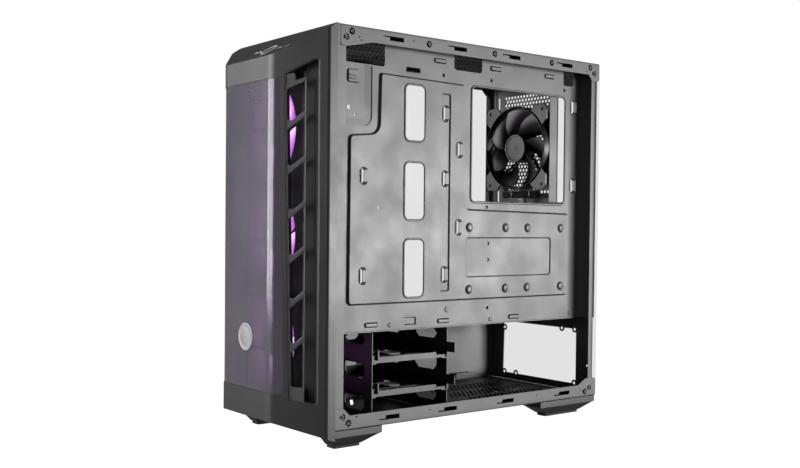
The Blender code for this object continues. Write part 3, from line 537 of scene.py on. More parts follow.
TRAY_SHEET = 0.0009
FLANGE = -0.0012              # level of the tray's flange, from its CAD face
PANEL_RISE = 0.0034           # how far its main panel is pressed up from the flange
PANEL_LEVEL = FLANGE + PANEL_RISE
CHANNEL_DEPTH = 0.0018        # how far the channel of the cable hooks is pressed back down
PANEL_LOW, PANEL_HIGH = 0.1600, 0.4218       # height range of the main panel
PANEL_STEP = (0.0092, 0.2668)               # behind this y it only reaches up to this height
DIMPLE = 0.0022               # depth of the small dimples behind the board's standoffs
FLAT_END = TRAY_HIGH.y - 0.0185 - SHEET     # where the flange starts to fold back
BOARD_ROWS = (0.15748, 0.0, -0.12446)       # standoffs upwards from the board's seat
BOARD_COLUMNS = (0.15494, 0.0, -0.07239)    # standoffs rearwards from the board's seat
DRIVE_HOLES = (0.0617, 0.0766)              # spacing of the holes in a 2.5 inch drive's base
# Places as y and z: cable hooks, raised bumps and sunk dimples.
CHANNEL_HOOKS = ((-0.0225, 0.3838), (-0.0225, 0.3054), (-0.0225, 0.1896))
PANEL_HOOKS = ((-0.0009, 0.3414), (-0.0015, 0.2468), (-0.1447, 0.3042), (-0.1452, 0.1906))
FLANGE_HOOKS = ((0.2040, 0.4092), (0.2040, 0.3041))
LEVEL_HOOKS = ((-0.0307, 0.4466), (0.0610, 0.4464), (0.1579, 0.4465),
               (-0.1304, 0.1338), (-0.0218, 0.1334), (0.0968, 0.1330))
BUMPS = ((-0.1035, 0.1325), (-0.0172, 0.1468), (0.0560, 0.1318), (0.2010, 0.1330))
DIMPLES = ((0.0506, 0.1462), (0.0535, 0.4312), (0.1863, 0.4312), (0.0478, 0.2722), (-0.0252, 0.4300))


def hook_opening(y, z, upright):
    """The opening that a cable hook was cut from."""
    size = (0.0062, 0.0185) if upright else (0.0185, 0.0062)
    return opening(centred(y, z, *size, 0.0004, 1))


def hook_strap(solid, y, z, upright, level):
    """The strap over a hook's opening, lifted on two slanted legs."""
    half, thick = 0.0105, 0.0009
    rise, leg, width = (0.0044, 0.0038, 0.0058) if upright else (0.0022, 0.0026, 0.0034)
    arch = [(-half, 0), (leg - half, rise), (half - leg, rise), (half, 0), (half - 0.0012, 0),
            (half - leg - 0.0005, rise - thick), (leg - half + 0.0005, rise - thick), (0.0012 - half, 0)]
    outline = [Vector(point) for point in arch]
    # Local X runs along the hook, and local Y out of the tray.
    axes = ((0, 0, 1), (1, 0, 0), (0, 1, 0)) if upright else ((0, 1, 0), (1, 0, 0), (0, 0, -1))
    place = Matrix.Translation((TRAY_X + level, y, z)) @ Matrix(axes).transposed().to_4x4()
    prism(solid, place, [outline], -width / 2, width / 2)


def main_panel():
    """The raised middle of the tray: cable windows, a channel of hooks and places for two drives."""
    inside = [pressing(rectangle(-0.0295, -0.0154, 0.169, 0.408, 0.0022, 3), 0.0016, -CHANNEL_DEPTH,
                       [hook_opening(*spot, True) for spot in CHANNEL_HOOKS]),
              pressing(rectangle(0.011, 0.161, 0.185, 0.235, 0.0045), 0.0018, -0.0016,
                       [pressing(circle(0.049, z, 0.0026, 12), 0.0006, -0.0016) for z in (0.2271, 0.2068)]),
              opening(circle(-0.1235, 0.2688, 0.0016, 8))]
    inside += [rolled_opening(rectangle(-0.0875, -0.0543, low, high, 0.0085), 0.0013)
               for low, high in ((0.1622, 0.2340), (0.2535, 0.3245), (0.3462, 0.4155))]
    for drive_y in (0.0468, 0.1475):
        for y, z in centred(drive_y, 0.2087, *DRIVE_HOLES):
            keyhole = opening(circle(y + 0.0004, z - 0.0006, 0.0011, 8))
            inside.append(pressing(circle(y, z, 0.0062, 24), 0.0030, 0.0026, [keyhole]))
    inside += [hook_opening(*spot, True) for spot in PANEL_HOOKS]
    outline = rounded([(-0.1658, 0.1570), (0.1950, 0.1570), (0.1965, 0.2668), (0.0105, 0.2700),
                       (0.0092, 0.4218), (-0.1220, 0.4240), (-0.1236, 0.3545), (-0.1648, 0.3505)],
                      (0.006, 0.005, 0.005, 0.007, 0.004, 0.004, 0.012, 0.006))
    return pressing(outline, 0.0024, PANEL_RISE, inside)


def gutter():
    """The cut-out along the front of the tray, bent like a crank, which a black strip closes."""
    return rounded([(-0.1875, 0.3610), (-0.1314, 0.3610), (-0.1314, 0.4300), (-0.1427, 0.4300),
                    (-0.1427, 0.3676), (-0.1875, 0.3676)], (0.0015, 0.012, 0, 0, 0.005, 0.0015))


def pressed_tray():
    """The motherboard tray: the main panel, and the openings and dimples of the flange around it."""
    notch = rounded([(-0.1700, 0.4318), (-0.1138, 0.4310), (-0.1138, 0.4620), (-0.1700, 0.4620)],
                    (0.001, 0.003, 0.003, 0.001))
    label_lines = [pressing(rectangle(-0.1650, -0.1548, z - 0.0011, z + 0.0011, 0.0008, 2), 0.0005, 0.0012)
                   for z in (0.4133, 0.4172)]
    features = [
        main_panel(),
        rolled_opening(rectangle(0.0192, 0.1898, 0.2767, 0.4233, 0.0080), 0.0015),
        opening(notch),
        opening(gutter()),
        opening(rectangle(-0.0080, 0.0380, 0.4385, 0.4620, 0.004)),
        opening(rectangle(0.1846, 0.2040, 0.4370, 0.4620, 0.004)),
        opening(rectangle(-0.0823, -0.0611, 0.4285, 0.4345, 0.0008, 2)),
        opening(rectangle(-0.1660, -0.1616, 0.3788, 0.3832, 0.0005, 1)),
        opening(circle(-0.1554, 0.3727, 0.0013, 8)),
        pressing(rectangle(-0.1668, -0.1494, 0.4087, 0.4242, 0.003), 0.0012, 0.0020, label_lines),
        pressing(rectangle(-0.0815, -0.0640, 0.1310, 0.1405, 0.001, 2), 0.0012, -0.0016),
    ]
    features += [hook_opening(*spot, True) for spot in FLANGE_HOOKS]
    features += [hook_opening(*spot, False) for spot in LEVEL_HOOKS]
    features += [pressing(circle(*spot, 0.0030, 16), 0.0012, 0.0010) for spot in BUMPS]
    features += [pressing(circle(*spot, 0.0024, 12), 0.0004, -DIMPLE) for spot in DIMPLES]
    place = facing("+X", TRAY_X)
    solid = bmesh.new()
    outline = rectangle(TRAY_LOW.y, FLAT_END, TRAY_LOW.z, TRAY_HIGH.z)
    press(solid, place, ring_of(solid, place, outline, FLANGE), FLANGE, features)
    piece("pressed_tray", solid, "grey_steel", ["motherboard_tray"], thickness=TRAY_SHEET)


def tray_parts():
    """What is fixed to the tray: the strip in its gutter, cable hooks and folded rear edge."""
    strip = bmesh.new()
    prism(strip, facing("+X", TRAY_X), [inset(gutter(), -0.0010)], FLANGE - 0.0022, FLANGE - 0.0012)
    piece("tray_gutter_strip", strip, "black_plastic")

    hooks = bmesh.new()
    for spots, upright, level in ((CHANNEL_HOOKS, True, PANEL_LEVEL - CHANNEL_DEPTH),
                                  (PANEL_HOOKS, True, PANEL_LEVEL), (FLANGE_HOOKS, True, FLANGE),
                                  (LEVEL_HOOKS, False, FLANGE)):
        for spot in spots:
            hook_strap(hooks, *spot, upright, level - 0.0004)
    piece("tray_cable_hooks", hooks, "grey_steel", eased=0.0002)

    bend = bmesh.new()
    middle = (TRAY_HIGH.x, FLAT_END)
    radius = TRAY_HIGH.x - TRAY_X - FLANGE
    section = (arc(middle, radius, math.pi, math.pi / 2, 12)
               + arc(middle, radius + TRAY_SHEET, math.pi / 2, math.pi, 12))
    prism(bend, facing("+Z"), [section], TRAY_LOW.z, TRAY_HIGH.z)
    piece("tray_rear_bend", bend, "grey_steel")


def board_standoffs():
    seat = MOUNTS["motherboard_seat"]
    solid = bmesh.new()
    for reach in BOARD_COLUMNS:
        for rise in BOARD_ROWS:
            y, z = seat.y + reach, seat.z + rise
            on_panel = PANEL_LOW < z < (PANEL_HIGH if y < PANEL_STEP[0] else PANEL_STEP[1])
            foot = (PANEL_LEVEL if on_panel else FLANGE) - 0.0006
            if reach < BOARD_COLUMNS[0]:
                foot -= DIMPLE
            tip = STANDOFF_LENGTH + SHEET + foot
            lathe(solid, standing((TRAY_X + foot, y, z), "-X"),
                  [(0, 0), (0.0034, 0), (0.0034, tip - 0.0015), (0.0028, tip), (0.0015, tip),
                   (0.0013, tip - 0.0045), (0, tip - 0.0045)], 12)
    piece("board_standoffs", solid, "nickel")


# --- Steel chassis --------------------------------------------------------------------------------

RAIL_BEND = 0.0016            # radius of the fold between a plate and its side rail
RAIL = 0.016                  # width of a side rail
EAR = 0.024                   # width of the ears at its ends
PILLAR = 0.0136               # depth of the pillars at the corners
SLOT_COVERS = [f"slot_cover_{number}" for number in range(1, 8)]
TOP_STRIP_Y = -0.1914         # rear edge of the narrow strips in front of the top's rails


def hook_slot(y, z, thin_side):
    """The slot that a side panel's hook drops into: a window with a thin lead-in to the front."""
    half, lead, height, thin = 0.010, 0.009, 0.0025, 0.0016
    edge = z + thin_side * height
    corners = [(y - half, z - thin_side * height), (y + half, z - thin_side * height),
               (y + half, edge), (y - half - lead, edge), (y - half - lead, edge - thin_side * thin),
               (y - half, edge - thin_side * thin)]
    return opening([Vector(corner) for corner in corners])


def rivet(y, z):
    """A countersunk ring with a dimpled rivet head in it."""
    profile = [(0.0002, -0.0034), (0.0016, -0.0034), (0.0018, 0.0000), (0.0022, 0.0008),
               (0.0030, 0.0008), (0.0035, -0.0012)]
    return (circle(y, z, 0.0040, 20), profile, [])


def side_rails(name, edge_z, inward, front_y, ears, slots, rivets, dots):
    """The folded sides of the top or the floor, with an ear over each pillar. ears holds the flat
    length and the slant of the front and the rear ear, slots the y of each hook slot, and rivets and
    dots the y and z of each rivet and small hole."""
    (front_flat, front_slant), (rear_flat, rear_slant) = ears
    fold_z = edge_z + inward * RAIL_BEND
    rail_z, ear_z = edge_z + inward * RAIL, edge_z + inward * EAR
    outline = rounded([
        (front_y, fold_z), (REAR_Y, fold_z), (REAR_Y, ear_z), (REAR_Y - rear_flat, ear_z),
        (REAR_Y - rear_flat - rear_slant, rail_z), (FRONT_Y + front_flat + front_slant, rail_z),
        (FRONT_Y + front_flat, ear_z), (front_y, ear_z)], (0, 0, 0.004, 0.001, 0.003, 0.003, 0.001, 0.004))
    slot_spots = [(y, edge_z + inward * 0.0085) for y in slots]
    features = [hook_slot(*spot, -inward) for spot in slot_spots]
    features += [rivet(*spot) for spot in rivets]
    features += [opening(circle(*spot, 0.0010, 8)) for spot in dots]
    place = facing("+X", HALF_WIDTH)
    solid = bmesh.new()
    press(solid, place, ring_of(solid, place, outline, 0), 0, features)
    middle = Vector((HALF_WIDTH - RAIL_BEND, edge_z + inward * RAIL_BEND))
    fold = arc(middle, RAIL_BEND, 0, -inward * math.pi / 2, 5)
    ends = [[solid.verts.new((point.x, y, point.y)) for point in fold] for y in (front_y, REAR_Y)]
    grid(solid, ends, inward > 0)
    bmesh.ops.remove_doubles(solid, verts=solid.verts, dist=1e-6)
    mirrored(solid)
    piece(name, solid, "grey_steel", thickness=SHEET)
    # dark boxes behind the slots stand in for the shade inside the rail
    slot_shade_boxes(name + "_slot_shade_boxes", slot_spots)


def slot_shade_boxes(name, spots):
    """Dark boxes behind a rail's slots, put there as painted shade: they make the slots read black where the
    rail's inside lies in shade.
    """
    solid = bmesh.new()
    inner, depth = -SHEET - 0.0001, 0.0150
    place = facing("+X", HALF_WIDTH)
    for y, z in spots:
        back = centred(y - 0.0045, z, 0.0300, 0.0062)
        prism(solid, place, [back, inset(back, 0.0004)], inner - depth, inner)
        prism(solid, place, [back], inner - depth - 0.0004, inner - depth)
    mirrored(solid)
    piece(name, solid, "black_steel")


def slanted_vents(x_columns, y_range, slope, pitch, width):
    """Columns of slanted slots with rounded ends."""
    loops = []
    for x_low, x_high in x_columns:
        slant = (x_high - x_low) * slope
        count = int((y_range[1] - y_range[0] - abs(slant) - width) / pitch) + 1
        for step in range(count):
            y = y_range[0] - min(slant, 0.0) + step * pitch
            corners = [(x_low, y), (x_high, y + slant), (x_high, y + slant + width), (x_low, y + width)]
            loops.append(rounded(corners, width * 0.24, 2))
    return loops


def top_and_floor():
    """The top and the floor: plates with slanted vents, the filter's guides, and the side rails."""
    half = HALF_WIDTH - RAIL_BEND
    plate = rectangle(-half, half, FRONT_Y, REAR_Y)
    columns = [(-0.062, -0.024), (-0.019, 0.019), (0.024, 0.062)]
    solid = bmesh.new()
    vents = slanted_vents(columns, (-0.172, 0.200), -0.59, 0.0063, 0.0042)
    prism(solid, facing("+Z"), [plate, *vents], TOP_Z - SHEET, TOP_Z)
    piece("vented_top", solid, "grey_steel", ["top_panel"])
    solid = bmesh.new()
    vents = slanted_vents([(x - 0.0005, x + 0.0345) for x in (-0.0585, -0.0175, 0.0235)],
                          (0.050, 0.214), -0.67, 0.0072, 0.0040)
    front_vents = slanted_vents([(-0.052, -0.018)], (-0.150, -0.060), -0.67, 0.0156, 0.0044)
    cable_pass = [centred(-0.082, y, 0.010, 0.034, 0.004) for y in (-0.02, 0.12)]
    prism(solid, facing("+Z"), [plate, *vents, *front_vents, *cable_pass], FLOOR_Z, FLOOR_Z + SHEET)
    for side in (-1, 1):
        inner, outer, lip = (side * reach for reach in (0.0648, 0.0669, 0.0616))
        channel = [Vector(corner) for corner in (
            (outer, FLOOR_Z), (outer, FLOOR_LOW.z + 0.0005), (outer - side * 0.0005, FLOOR_LOW.z),
            (lip, FLOOR_LOW.z), (lip, FLOOR_LOW.z + 0.0011), (inner, FLOOR_LOW.z + 0.0011),
            (inner, FLOOR_Z))]
        prism(solid, facing("-Y"), [channel], -0.222, -0.062)
    piece("vented_floor", solid, "grey_steel", ["bottom_panel"])
    strips = bmesh.new()
    block(strips, (HALF_WIDTH - SHEET, HALF_WIDTH), (FRONT_Y, TOP_STRIP_Y),
          (TOP_Z - EAR, TOP_Z - RAIL_BEND))
    mirrored(strips)
    piece("top_corner_strips", strips, "grey_steel", eased=0.0003)
    side_rails("top_side_rails", TOP_Z, -1, TOP_STRIP_Y + 0.0005,
               ears=((PILLAR, 0.035), (PILLAR, 0.008)), slots=(-0.114, -0.018, 0.072, 0.167),
               rivets=[(-0.1761, 0.461), (-0.1839, 0.454), (0.2117, 0.461), (0.2198, 0.454),
                       (-0.0666, 0.4595), (0.038, 0.460), (0.138, 0.460)],
               dots=[(-0.1662, 0.4558), (-0.1636, 0.4526), (0.2050, 0.4552), (-0.0900, 0.4605),
                     (0.052, 0.4605)])
    side_rails("floor_side_rails", FLOOR_Z, 1, FRONT_Y,
               ears=((PILLAR, 0.008), (0.020, 0.014)), slots=(-0.115, -0.028, 0.067, 0.169),
               rivets=[(-0.1845, 0.0367), (-0.1766, 0.0296), (0.2176, 0.0333), (0.2087, 0.0287)],
               dots=[(-0.1660, 0.0355), (0.2005, 0.0325), (-0.0600, 0.0325), (0.1180, 0.0325)])


def pillar_fold(solid, plate_y, edge_y, bend):
    """The two pillars at an end: a wide fold from the plate along each side of the case."""
    towards = 1 if plate_y > edge_y else -1
    outer = HALF_WIDTH - SHEET - GAP
    middle = Vector((outer - bend, plate_y - towards * bend))
    skins = [[Vector((middle.x + reach, edge_y)), *arc(middle, reach, 0, towards * math.pi / 2, 6)]
             for reach in (bend, bend - SHEET)]
    section = skins[0] + skins[1][::-1]
    for side in (-1, 1):
        outline = [Vector((side * point.x, point.y)) for point in section]
        prism(solid, facing("+Z"), [outline], WALL_LOW.z, WALL_HIGH.z)


FRONT_BEND, REAR_BEND = 0.0030, 0.0085        # radii of the pillars' folds
PORT_X, PORT_Z = 0.0308, (0.2830, 0.4418)     # the port opening's edge and height range
SUPPLY_CENTRE = Vector((-0.0019, 0.0706))
SUPPLY_REACH = Vector((0.0717, 0.0378))
# Each screw hole as seen from the opening's middle, and the two directions in degrees between which
# the opening's edge curves inwards around it.
SUPPLY_LOBES = ((-0.069, 0.0287, 104, -104), (-0.069, -0.037, 127, -10), (-0.045, -0.037, 190, -10),
                (0.069, -0.037, 190, 53), (0.069, 0.037, -53, -190), (0.045, 0.037, 10, -190))
SUPPLY_SCREWS = [SUPPLY_CENTRE + Vector(lobe[:2]) for lobe in SUPPLY_LOBES]


def supply_opening():
    """The power supply's opening, whose edge curves inwards around each screw hole."""
    loop = [SUPPLY_CENTRE + Vector((-SUPPLY_REACH.x, SUPPLY_REACH.y))]
    for screw, (_, _, start, end) in zip(SUPPLY_SCREWS, SUPPLY_LOBES):
        loop += arc(screw, 0.0045, math.radians(start), math.radians(end), 8)
    return loop


def fan_plate():
    """The plate that carries the front fans, with slotted screw holes and cable openings."""
    seat_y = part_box("front_fan_frame_lower")[1].y + 2 * GAP
    outer = HALF_WIDTH - 2 * SHEET - GAP - 0.0002
    loops = [rectangle(-outer, outer, WALL_LOW.z, WALL_HIGH.z)]
    for level in FRONT_FANS:
        middle = (0, face_centre("front_fan_frame_" + level).y)
        loops.append(circle(*middle, 0.0560, 64))
        loops += [centred(*screw, 0.0044, 0.0100, 0.0021, 3) for screw in fan_screws(middle)]
    loops += [centred(side * 0.082, z, 0.016, 0.090, 0.006) for side in (-1, 1) for z in (0.130, 0.300)]
    loops += [centred(side * 0.082, 0.400, 0.010, 0.012, 0.002) for side in (-1, 1)]
    solid = bmesh.new()
    prism(solid, facing("-Y"), loops, -seat_y - SHEET, -seat_y)
    pillar_fold(solid, FRONT_Y + 0.0005, FRONT_Y + PILLAR, FRONT_BEND)
    piece("fan_plate", solid, "grey_steel", ["front_frame"])


def perforated_wall():
    """The rear wall with its pillars, a flange beside the ports, and pads for the supply's screws."""
    outer = HALF_WIDTH - SHEET - GAP - REAR_BEND
    loops = [rectangle(-outer, outer, WALL_LOW.z, WALL_HIGH.z), *rear_openings()]
    solid = bmesh.new()
    prism(solid, facing("-Y"), loops, -REAR_Y, SHEET - REAR_Y)
    pillar_fold(solid, REAR_Y, REAR_Y - PILLAR, REAR_BEND)
    block(solid, (PORT_X - 0.0016, PORT_X - 0.0008), (REAR_Y - 0.0160, REAR_Y - SHEET / 2), PORT_Z)
    for screw in SUPPLY_SCREWS:
        pad = [circle(*screw, reach, 24) for reach in (0.0044, 0.0022)]
        prism(solid, facing("-Y"), pad, 0.0002 - REAR_Y, SHEET + 0.0003 - REAR_Y)
    piece("perforated_wall", solid, "grey_steel", ["rear_wall"])


def rear_openings():
    """The holes of the rear wall: air holes, fan screws, supply, ports, expansion slots and hooks."""
    pitch, radius = 0.0062, 0.0022
    row_rise = pitch * math.sin(math.pi / 3)
    first = Vector((-0.0735, 0.2985))
    height = 0.1490
    screws = fan_screws(face_centre("rear_fan_frame"))
    loops = [circle(*screw, 0.0024, 10) for screw in screws]
    for row in range(int(height / row_rise)):
        for column in range(15 - row % 2):
            spot = first + Vector(((column + row % 2 / 2) * pitch, row * row_rise))
            if all((spot - screw).length > pitch for screw in screws):
                loops.append(circle(*spot, radius, 10))
    loops.append(supply_opening())
    loops += [circle(*screw, 0.0022, 10) for screw in SUPPLY_SCREWS]
    loops.append(rectangle(PORT_X, 0.0752, *PORT_Z, 0.001, 2))
    for node in SLOT_COVERS:
        z = centre_of(node).z
        loops.append(rectangle(-0.0535, 0.058, z - 0.0065, z + 0.0065, 0.001, 1))
    loops += [centred(-0.088, z, 0.003, 0.020, 0.0014, 3) for z in (0.430, 0.292)]
    loops += [circle(0.090, z, 0.0016, 8) for z in (0.06, 0.20, 0.34, 0.44)]
    return loops


def slot_covers():
    """Vented covers with a pressed rib and a folded screw tab."""
    for number, node in enumerate(SLOT_COVERS, 1):
        low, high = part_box(node)
        z = centre_of(node).z
        place = facing("+Y", low.y + SHEET)
        vents = [opening(centred(-0.0040 + step * 0.0125, z, 0.0095, 0.0030, 0.0014, 3))
                 for step in range(-4, 5)]
        rib = pressing(centred(-0.0040, z, 0.1120, 0.0088, 0.0040), 0.0007, 0.0009, vents)
        solid = bmesh.new()
        outline = rectangle(-high.x, -low.x, low.z, high.z, 0.0015, 3)
        press(solid, place, ring_of(solid, place, outline, 0), 0, [rib])
        piece("vented_" + node, solid, "grey_steel", [node], thickness=SHEET)
        tab = bmesh.new()
        start, half = low.y + SHEET, 0.0058
        outline = rounded([(start, z - half), (high.y, z - half), (high.y, z + half), (start, z + half)],
                          (0, 0.002, 0.002, 0))
        screw = circle(high.y - 0.0045, z, 0.0018, 10)
        prism(tab, facing("+X"), [outline, screw], low.x, low.x + SHEET)
        piece(f"slot_tab_{number}", tab, "grey_steel", eased=0.00025)


def shroud():
    """The power supply's cover: a vented top that folds down along the far side of the case."""
    low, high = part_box("psu_shroud")
    half = -low.x
    bend = 0.003
    solid = bmesh.new()
    vents = slanted_vents([(-0.070, -0.034), (-0.028, 0.008), (0.014, 0.050)], (0.010, 0.200),
                          0.55, 0.0120, 0.0060)
    passes = [rectangle(0.050, 0.074, -0.100, -0.040, 0.006), rectangle(0.060, 0.078, 0.080, 0.190, 0.006)]
    prism(solid, facing("+Z"), [rectangle(bend - half, high.x, low.y, high.y), *vents, *passes],
          high.z - SHEET, high.z)
    middle = Vector((bend - half, high.z - bend))
    skins = [[*arc(middle, reach, math.pi / 2, math.pi, 6), Vector((middle.x - reach, low.z))]
             for reach in (bend, bend - SHEET)]
    front_end, rear_end = FRONT_Y + PILLAR + GAP, REAR_Y - SHEET - REAR_BEND / 2
    prism(solid, facing("-Y"), [skins[0] + skins[1][::-1]], -rear_end, -front_end)
    piece("supply_shroud", solid, "grey_steel", ["psu_shroud"])


# --- Drive cage -----------------------------------------------------------------------------------

CAGE_TAB = 0.0144             # the CAD cage's reach behind its rear wall
CAGE_MOUTH, CAGE_TAB_END = 0.0885, 0.1030      # where its open side ends, and the tabs beyond it
CAGE_TABS = ((0.0581, 0.0690), (0.0967, 0.1086))                      # height ranges of the tabs
CAGE_ROWS = ((0.0345, 0.0555), (0.0720, 0.0935), (0.1108, 0.1228))    # and of the rows of windows


def cut_corners(u_low, u_high, v_low, v_high, cut):
    """A window with its corners cut off and slightly rounded."""
    corners = [(u_low, v_low + cut), (u_low + cut, v_low), (u_high - cut, v_low), (u_high, v_low + cut),
               (u_high, v_high - cut), (u_high - cut, v_high), (u_low + cut, v_high), (u_low, v_high - cut)]
    return rounded(corners, 0.001, 2)


def tabbed_outline(low, high):
    """The cage's rear wall, with the tabs that reach out past its mouth to the side panel."""
    corners = [(low.x, low.z), (CAGE_MOUTH, low.z)]
    for bottom, top in CAGE_TABS:
        corners += [(CAGE_MOUTH, bottom), (CAGE_TAB_END, bottom), (CAGE_TAB_END, top), (CAGE_MOUTH, top)]
    corners += [(CAGE_MOUTH, high.z), (low.x, high.z)]
    return rounded(corners, 0)


def cage():
    """The drive cage: two walls with cut-out windows, a back between them, and the trays' ledges."""
    low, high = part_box("drive_cage")
    rear = high.y - CAGE_TAB
    levels = [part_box("drive_tray_" + level)[0].z for level in ("lower", "upper")]
    solid = bmesh.new()
    for y, outline, columns in (
            (low.y, rectangle(low.x, high.x, low.z, high.z), ((-0.030, 0.006), (0.040, 0.0785))),
            (rear - SHEET, tabbed_outline(low, high), ((-0.036, -0.0035), (0.0283, 0.069)))):
        windows = [cut_corners(*column, *row, 0.0055) for column in columns for row in CAGE_ROWS]
        prism(solid, facing("-Y"), [outline, *windows], -y - SHEET, -y)
    back = [rectangle(low.y, rear, low.z, high.z), cut_corners(-0.115, -0.048, 0.066, 0.088, 0.005),
            cut_corners(-0.115, -0.048, 0.100, 0.118, 0.005)]
    prism(solid, facing("+X"), back, low.x, low.x + SHEET)
    for level in levels:
        for wall, inward in ((low.y, 1), (rear, -1)):
            reach = sorted((wall + inward * SHEET / 2, wall + inward * 0.009))
            block(solid, (low.x + SHEET / 2, high.x - 0.004), reach, (level - 0.0015, level - GAP))
    piece("drive_cage_frame", solid, "black_steel", ["drive_cage"], eased=0.0001)


def caddy(level):
    """A drive tray: ribbed floor with pin rails, rubber washers and a pull handle."""
    low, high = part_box("drive_tray_" + level)
    rail_end = high.x - 0.006
    rail_thick = 0.0020
    floor_top = low.z + 0.0020
    solid = bmesh.new()
    windows = [centred(x, y, 0.026, 0.030, 0.004) for x in (-0.030, 0.006, 0.042)
               for y in (-0.103, -0.059)]
    outline = rounded([(low.x, low.y), (high.x - 0.004, low.y), (high.x - 0.004, high.y), (low.x, high.y)],
                      (0.003, 0.001, 0.001, 0.003))
    prism(solid, facing("+Z"), [outline, *windows], low.z + 0.0002, floor_top)
    for wall, inward in ((low.y, 1), (high.y, -1)):
        reach = sorted((wall, wall + inward * rail_thick))
        rail = rounded([(low.x, low.z), (rail_end, low.z), (rail_end, high.z), (low.x, high.z)],
                       (0.001, 0.0005, 0.003, 0.002))
        slots = [centred(x, low.z + 0.0055, 0.018, 0.0024, 0.0011, 3) for x in (-0.030, 0.030)]
        prism(solid, facing("-Y"), [rail, *slots], -reach[1], -reach[0])
        block(solid, (rail_end, high.x), reach, (low.z, high.z))
        for x in (-0.030, 0.012, 0.056):
            pin = standing((x, wall + inward * rail_thick, low.z + 0.0058), "+Y" if inward > 0 else "-Y")
            lathe(solid, pin, [(0.0019, 0), (0.0019, 0.0007), (0.0012, 0.0014), (0, 0.0014)], 12)
    for x in (-0.044, -0.012, 0.024, 0.060):
        block(solid, (x - 0.0008, x + 0.0008), within(low.y, high.y, 0.004),
              (floor_top - 0.0002, low.z + 0.0034))
    for y in (-0.1180, -0.0810, -0.0440):
        block(solid, (low.x + 0.004, high.x - 0.005), (y - 0.0008, y + 0.0008),
              (floor_top - 0.0002, low.z + 0.0030))
    washer = [(0.0036, 0), (0.0036, 0.0012), (0.0030, 0.0018), (0.0016, 0.0018), (0.0014, 0.0004),
              (0, 0.0004)]
    for x in (-0.036, 0.030, 0.072):
        for y in (-0.1235, -0.0385):
            lathe(solid, Matrix.Translation((x, y, floor_top)), washer, 16)
    grip = rectangle(low.y + 0.0085, low.y + 0.0945, low.z + 0.0032, low.z + 0.0071, 0.0012)
    prism(solid, facing("+X"), [grip], high.x - 0.0045, high.x)
    post = (high.x - 0.0050, high.x - 0.0020)
    block(solid, post, within(low.y, high.y, 0.0010), (low.z, low.z + 0.0034))
    block(solid, (post[0], high.x - 0.0002), (low.y + 0.0078, low.y + 0.0096),
          (low.z + 0.0033, low.z + 0.0150))
    piece("caddy_" + level, solid, "black_plastic", ["drive_tray_" + level],
          body=level + "_drive_tray", eased=0.0002)


# --- Fans -----------------------------------------------------------------------------------------

def fan_housing(name, node, round_body):
    """A fan housing: flared bore, two flanges with screw holes, four curved struts to the motor.
    A round body is cut back between its screw lugs."""
    low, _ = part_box(node)
    centre = face_centre(node)
    place = standing((centre.x, low.y, centre.y), "+Y")
    solid = bmesh.new()
    screws = [circle(*screw, 0.0022, 12) for screw in fan_screws()]
    square = centred(0, 0, 2 * FAN_HALF, 2 * FAN_HALF, 0.0080, 6)
    outline = lugged_outline() if round_body else square
    for bottom, top in ((0.0, 0.0035), (FAN_DEPTH - 0.0035, FAN_DEPTH)):
        rise = 0.0024 if round_body and bottom == 0 else 0.0
        prism(solid, place, [outline, circle(0, 0, FAN_BORE + 0.0011, 72), *screws],
              bottom + rise, top + rise)
    barrel = [(0.0591, 0.0004), (0.0586, 0), (0.0580, 0.0002), (FAN_BORE + 0.0001, 0.0028),
              (FAN_BORE, 0.006), (FAN_BORE, 0.019), (0.0583, FAN_DEPTH - 0.0002), (0.0589, FAN_DEPTH),
              (0.0594, FAN_DEPTH - 0.0004), (0.0594, 0.0008), (0.0591, 0.0004)]
    lathe(solid, place, barrel, 72)
    lathe(solid, place, [(0, 0.0210), (0.0196, 0.0210), (0.0204, 0.0218), (0.0204, 0.0240),
                         (0.0196, 0.0246), (0, 0.0246)], 36)
    for quarter in range(4):
        turn = 0.72 + quarter * math.pi / 2
        curve = [Vector((math.cos(turn + bend), math.sin(turn + bend))) * reach
                 for reach, bend in ((0.0185, 0.0), (0.031, 0.05), (0.044, 0.13), (0.0582, 0.24))]
        prism(solid, place, [ribbon(curve, 0.0017)], 0.0222, 0.0244)
    piece(name, solid, "fan_plastic", [node], eased=0.0003)


def ribbon(curve, half_width):
    """A strip of even width along a curve."""
    left, right = [], []
    for index, here in enumerate(curve):
        before, after = curve[max(index - 1, 0)], curve[min(index + 1, len(curve) - 1)]
        along = (after - before).normalized()
        across = Vector((-along.y, along.x)) * half_width
        left.append(here + across)
        right.append(here - across)
    return right + left[::-1]


def lugged_outline():
    """A round body that grows into the corners of a square, for the screw lugs."""
    loop = []
    steps = 160
    for step in range(steps):
        turn = 2 * math.pi * (step + 0.5) / steps
        along = Vector((math.cos(turn), math.sin(turn)))
        from_corner = abs((math.degrees(turn) % 90) - 45)
        reach = 0.0598
        if from_corner < 13.5:
            reach = min((FAN_HALF - 0.0001) / max(abs(along.x), abs(along.y)), 0.0815)
        loop.append(along * reach)
    return loop


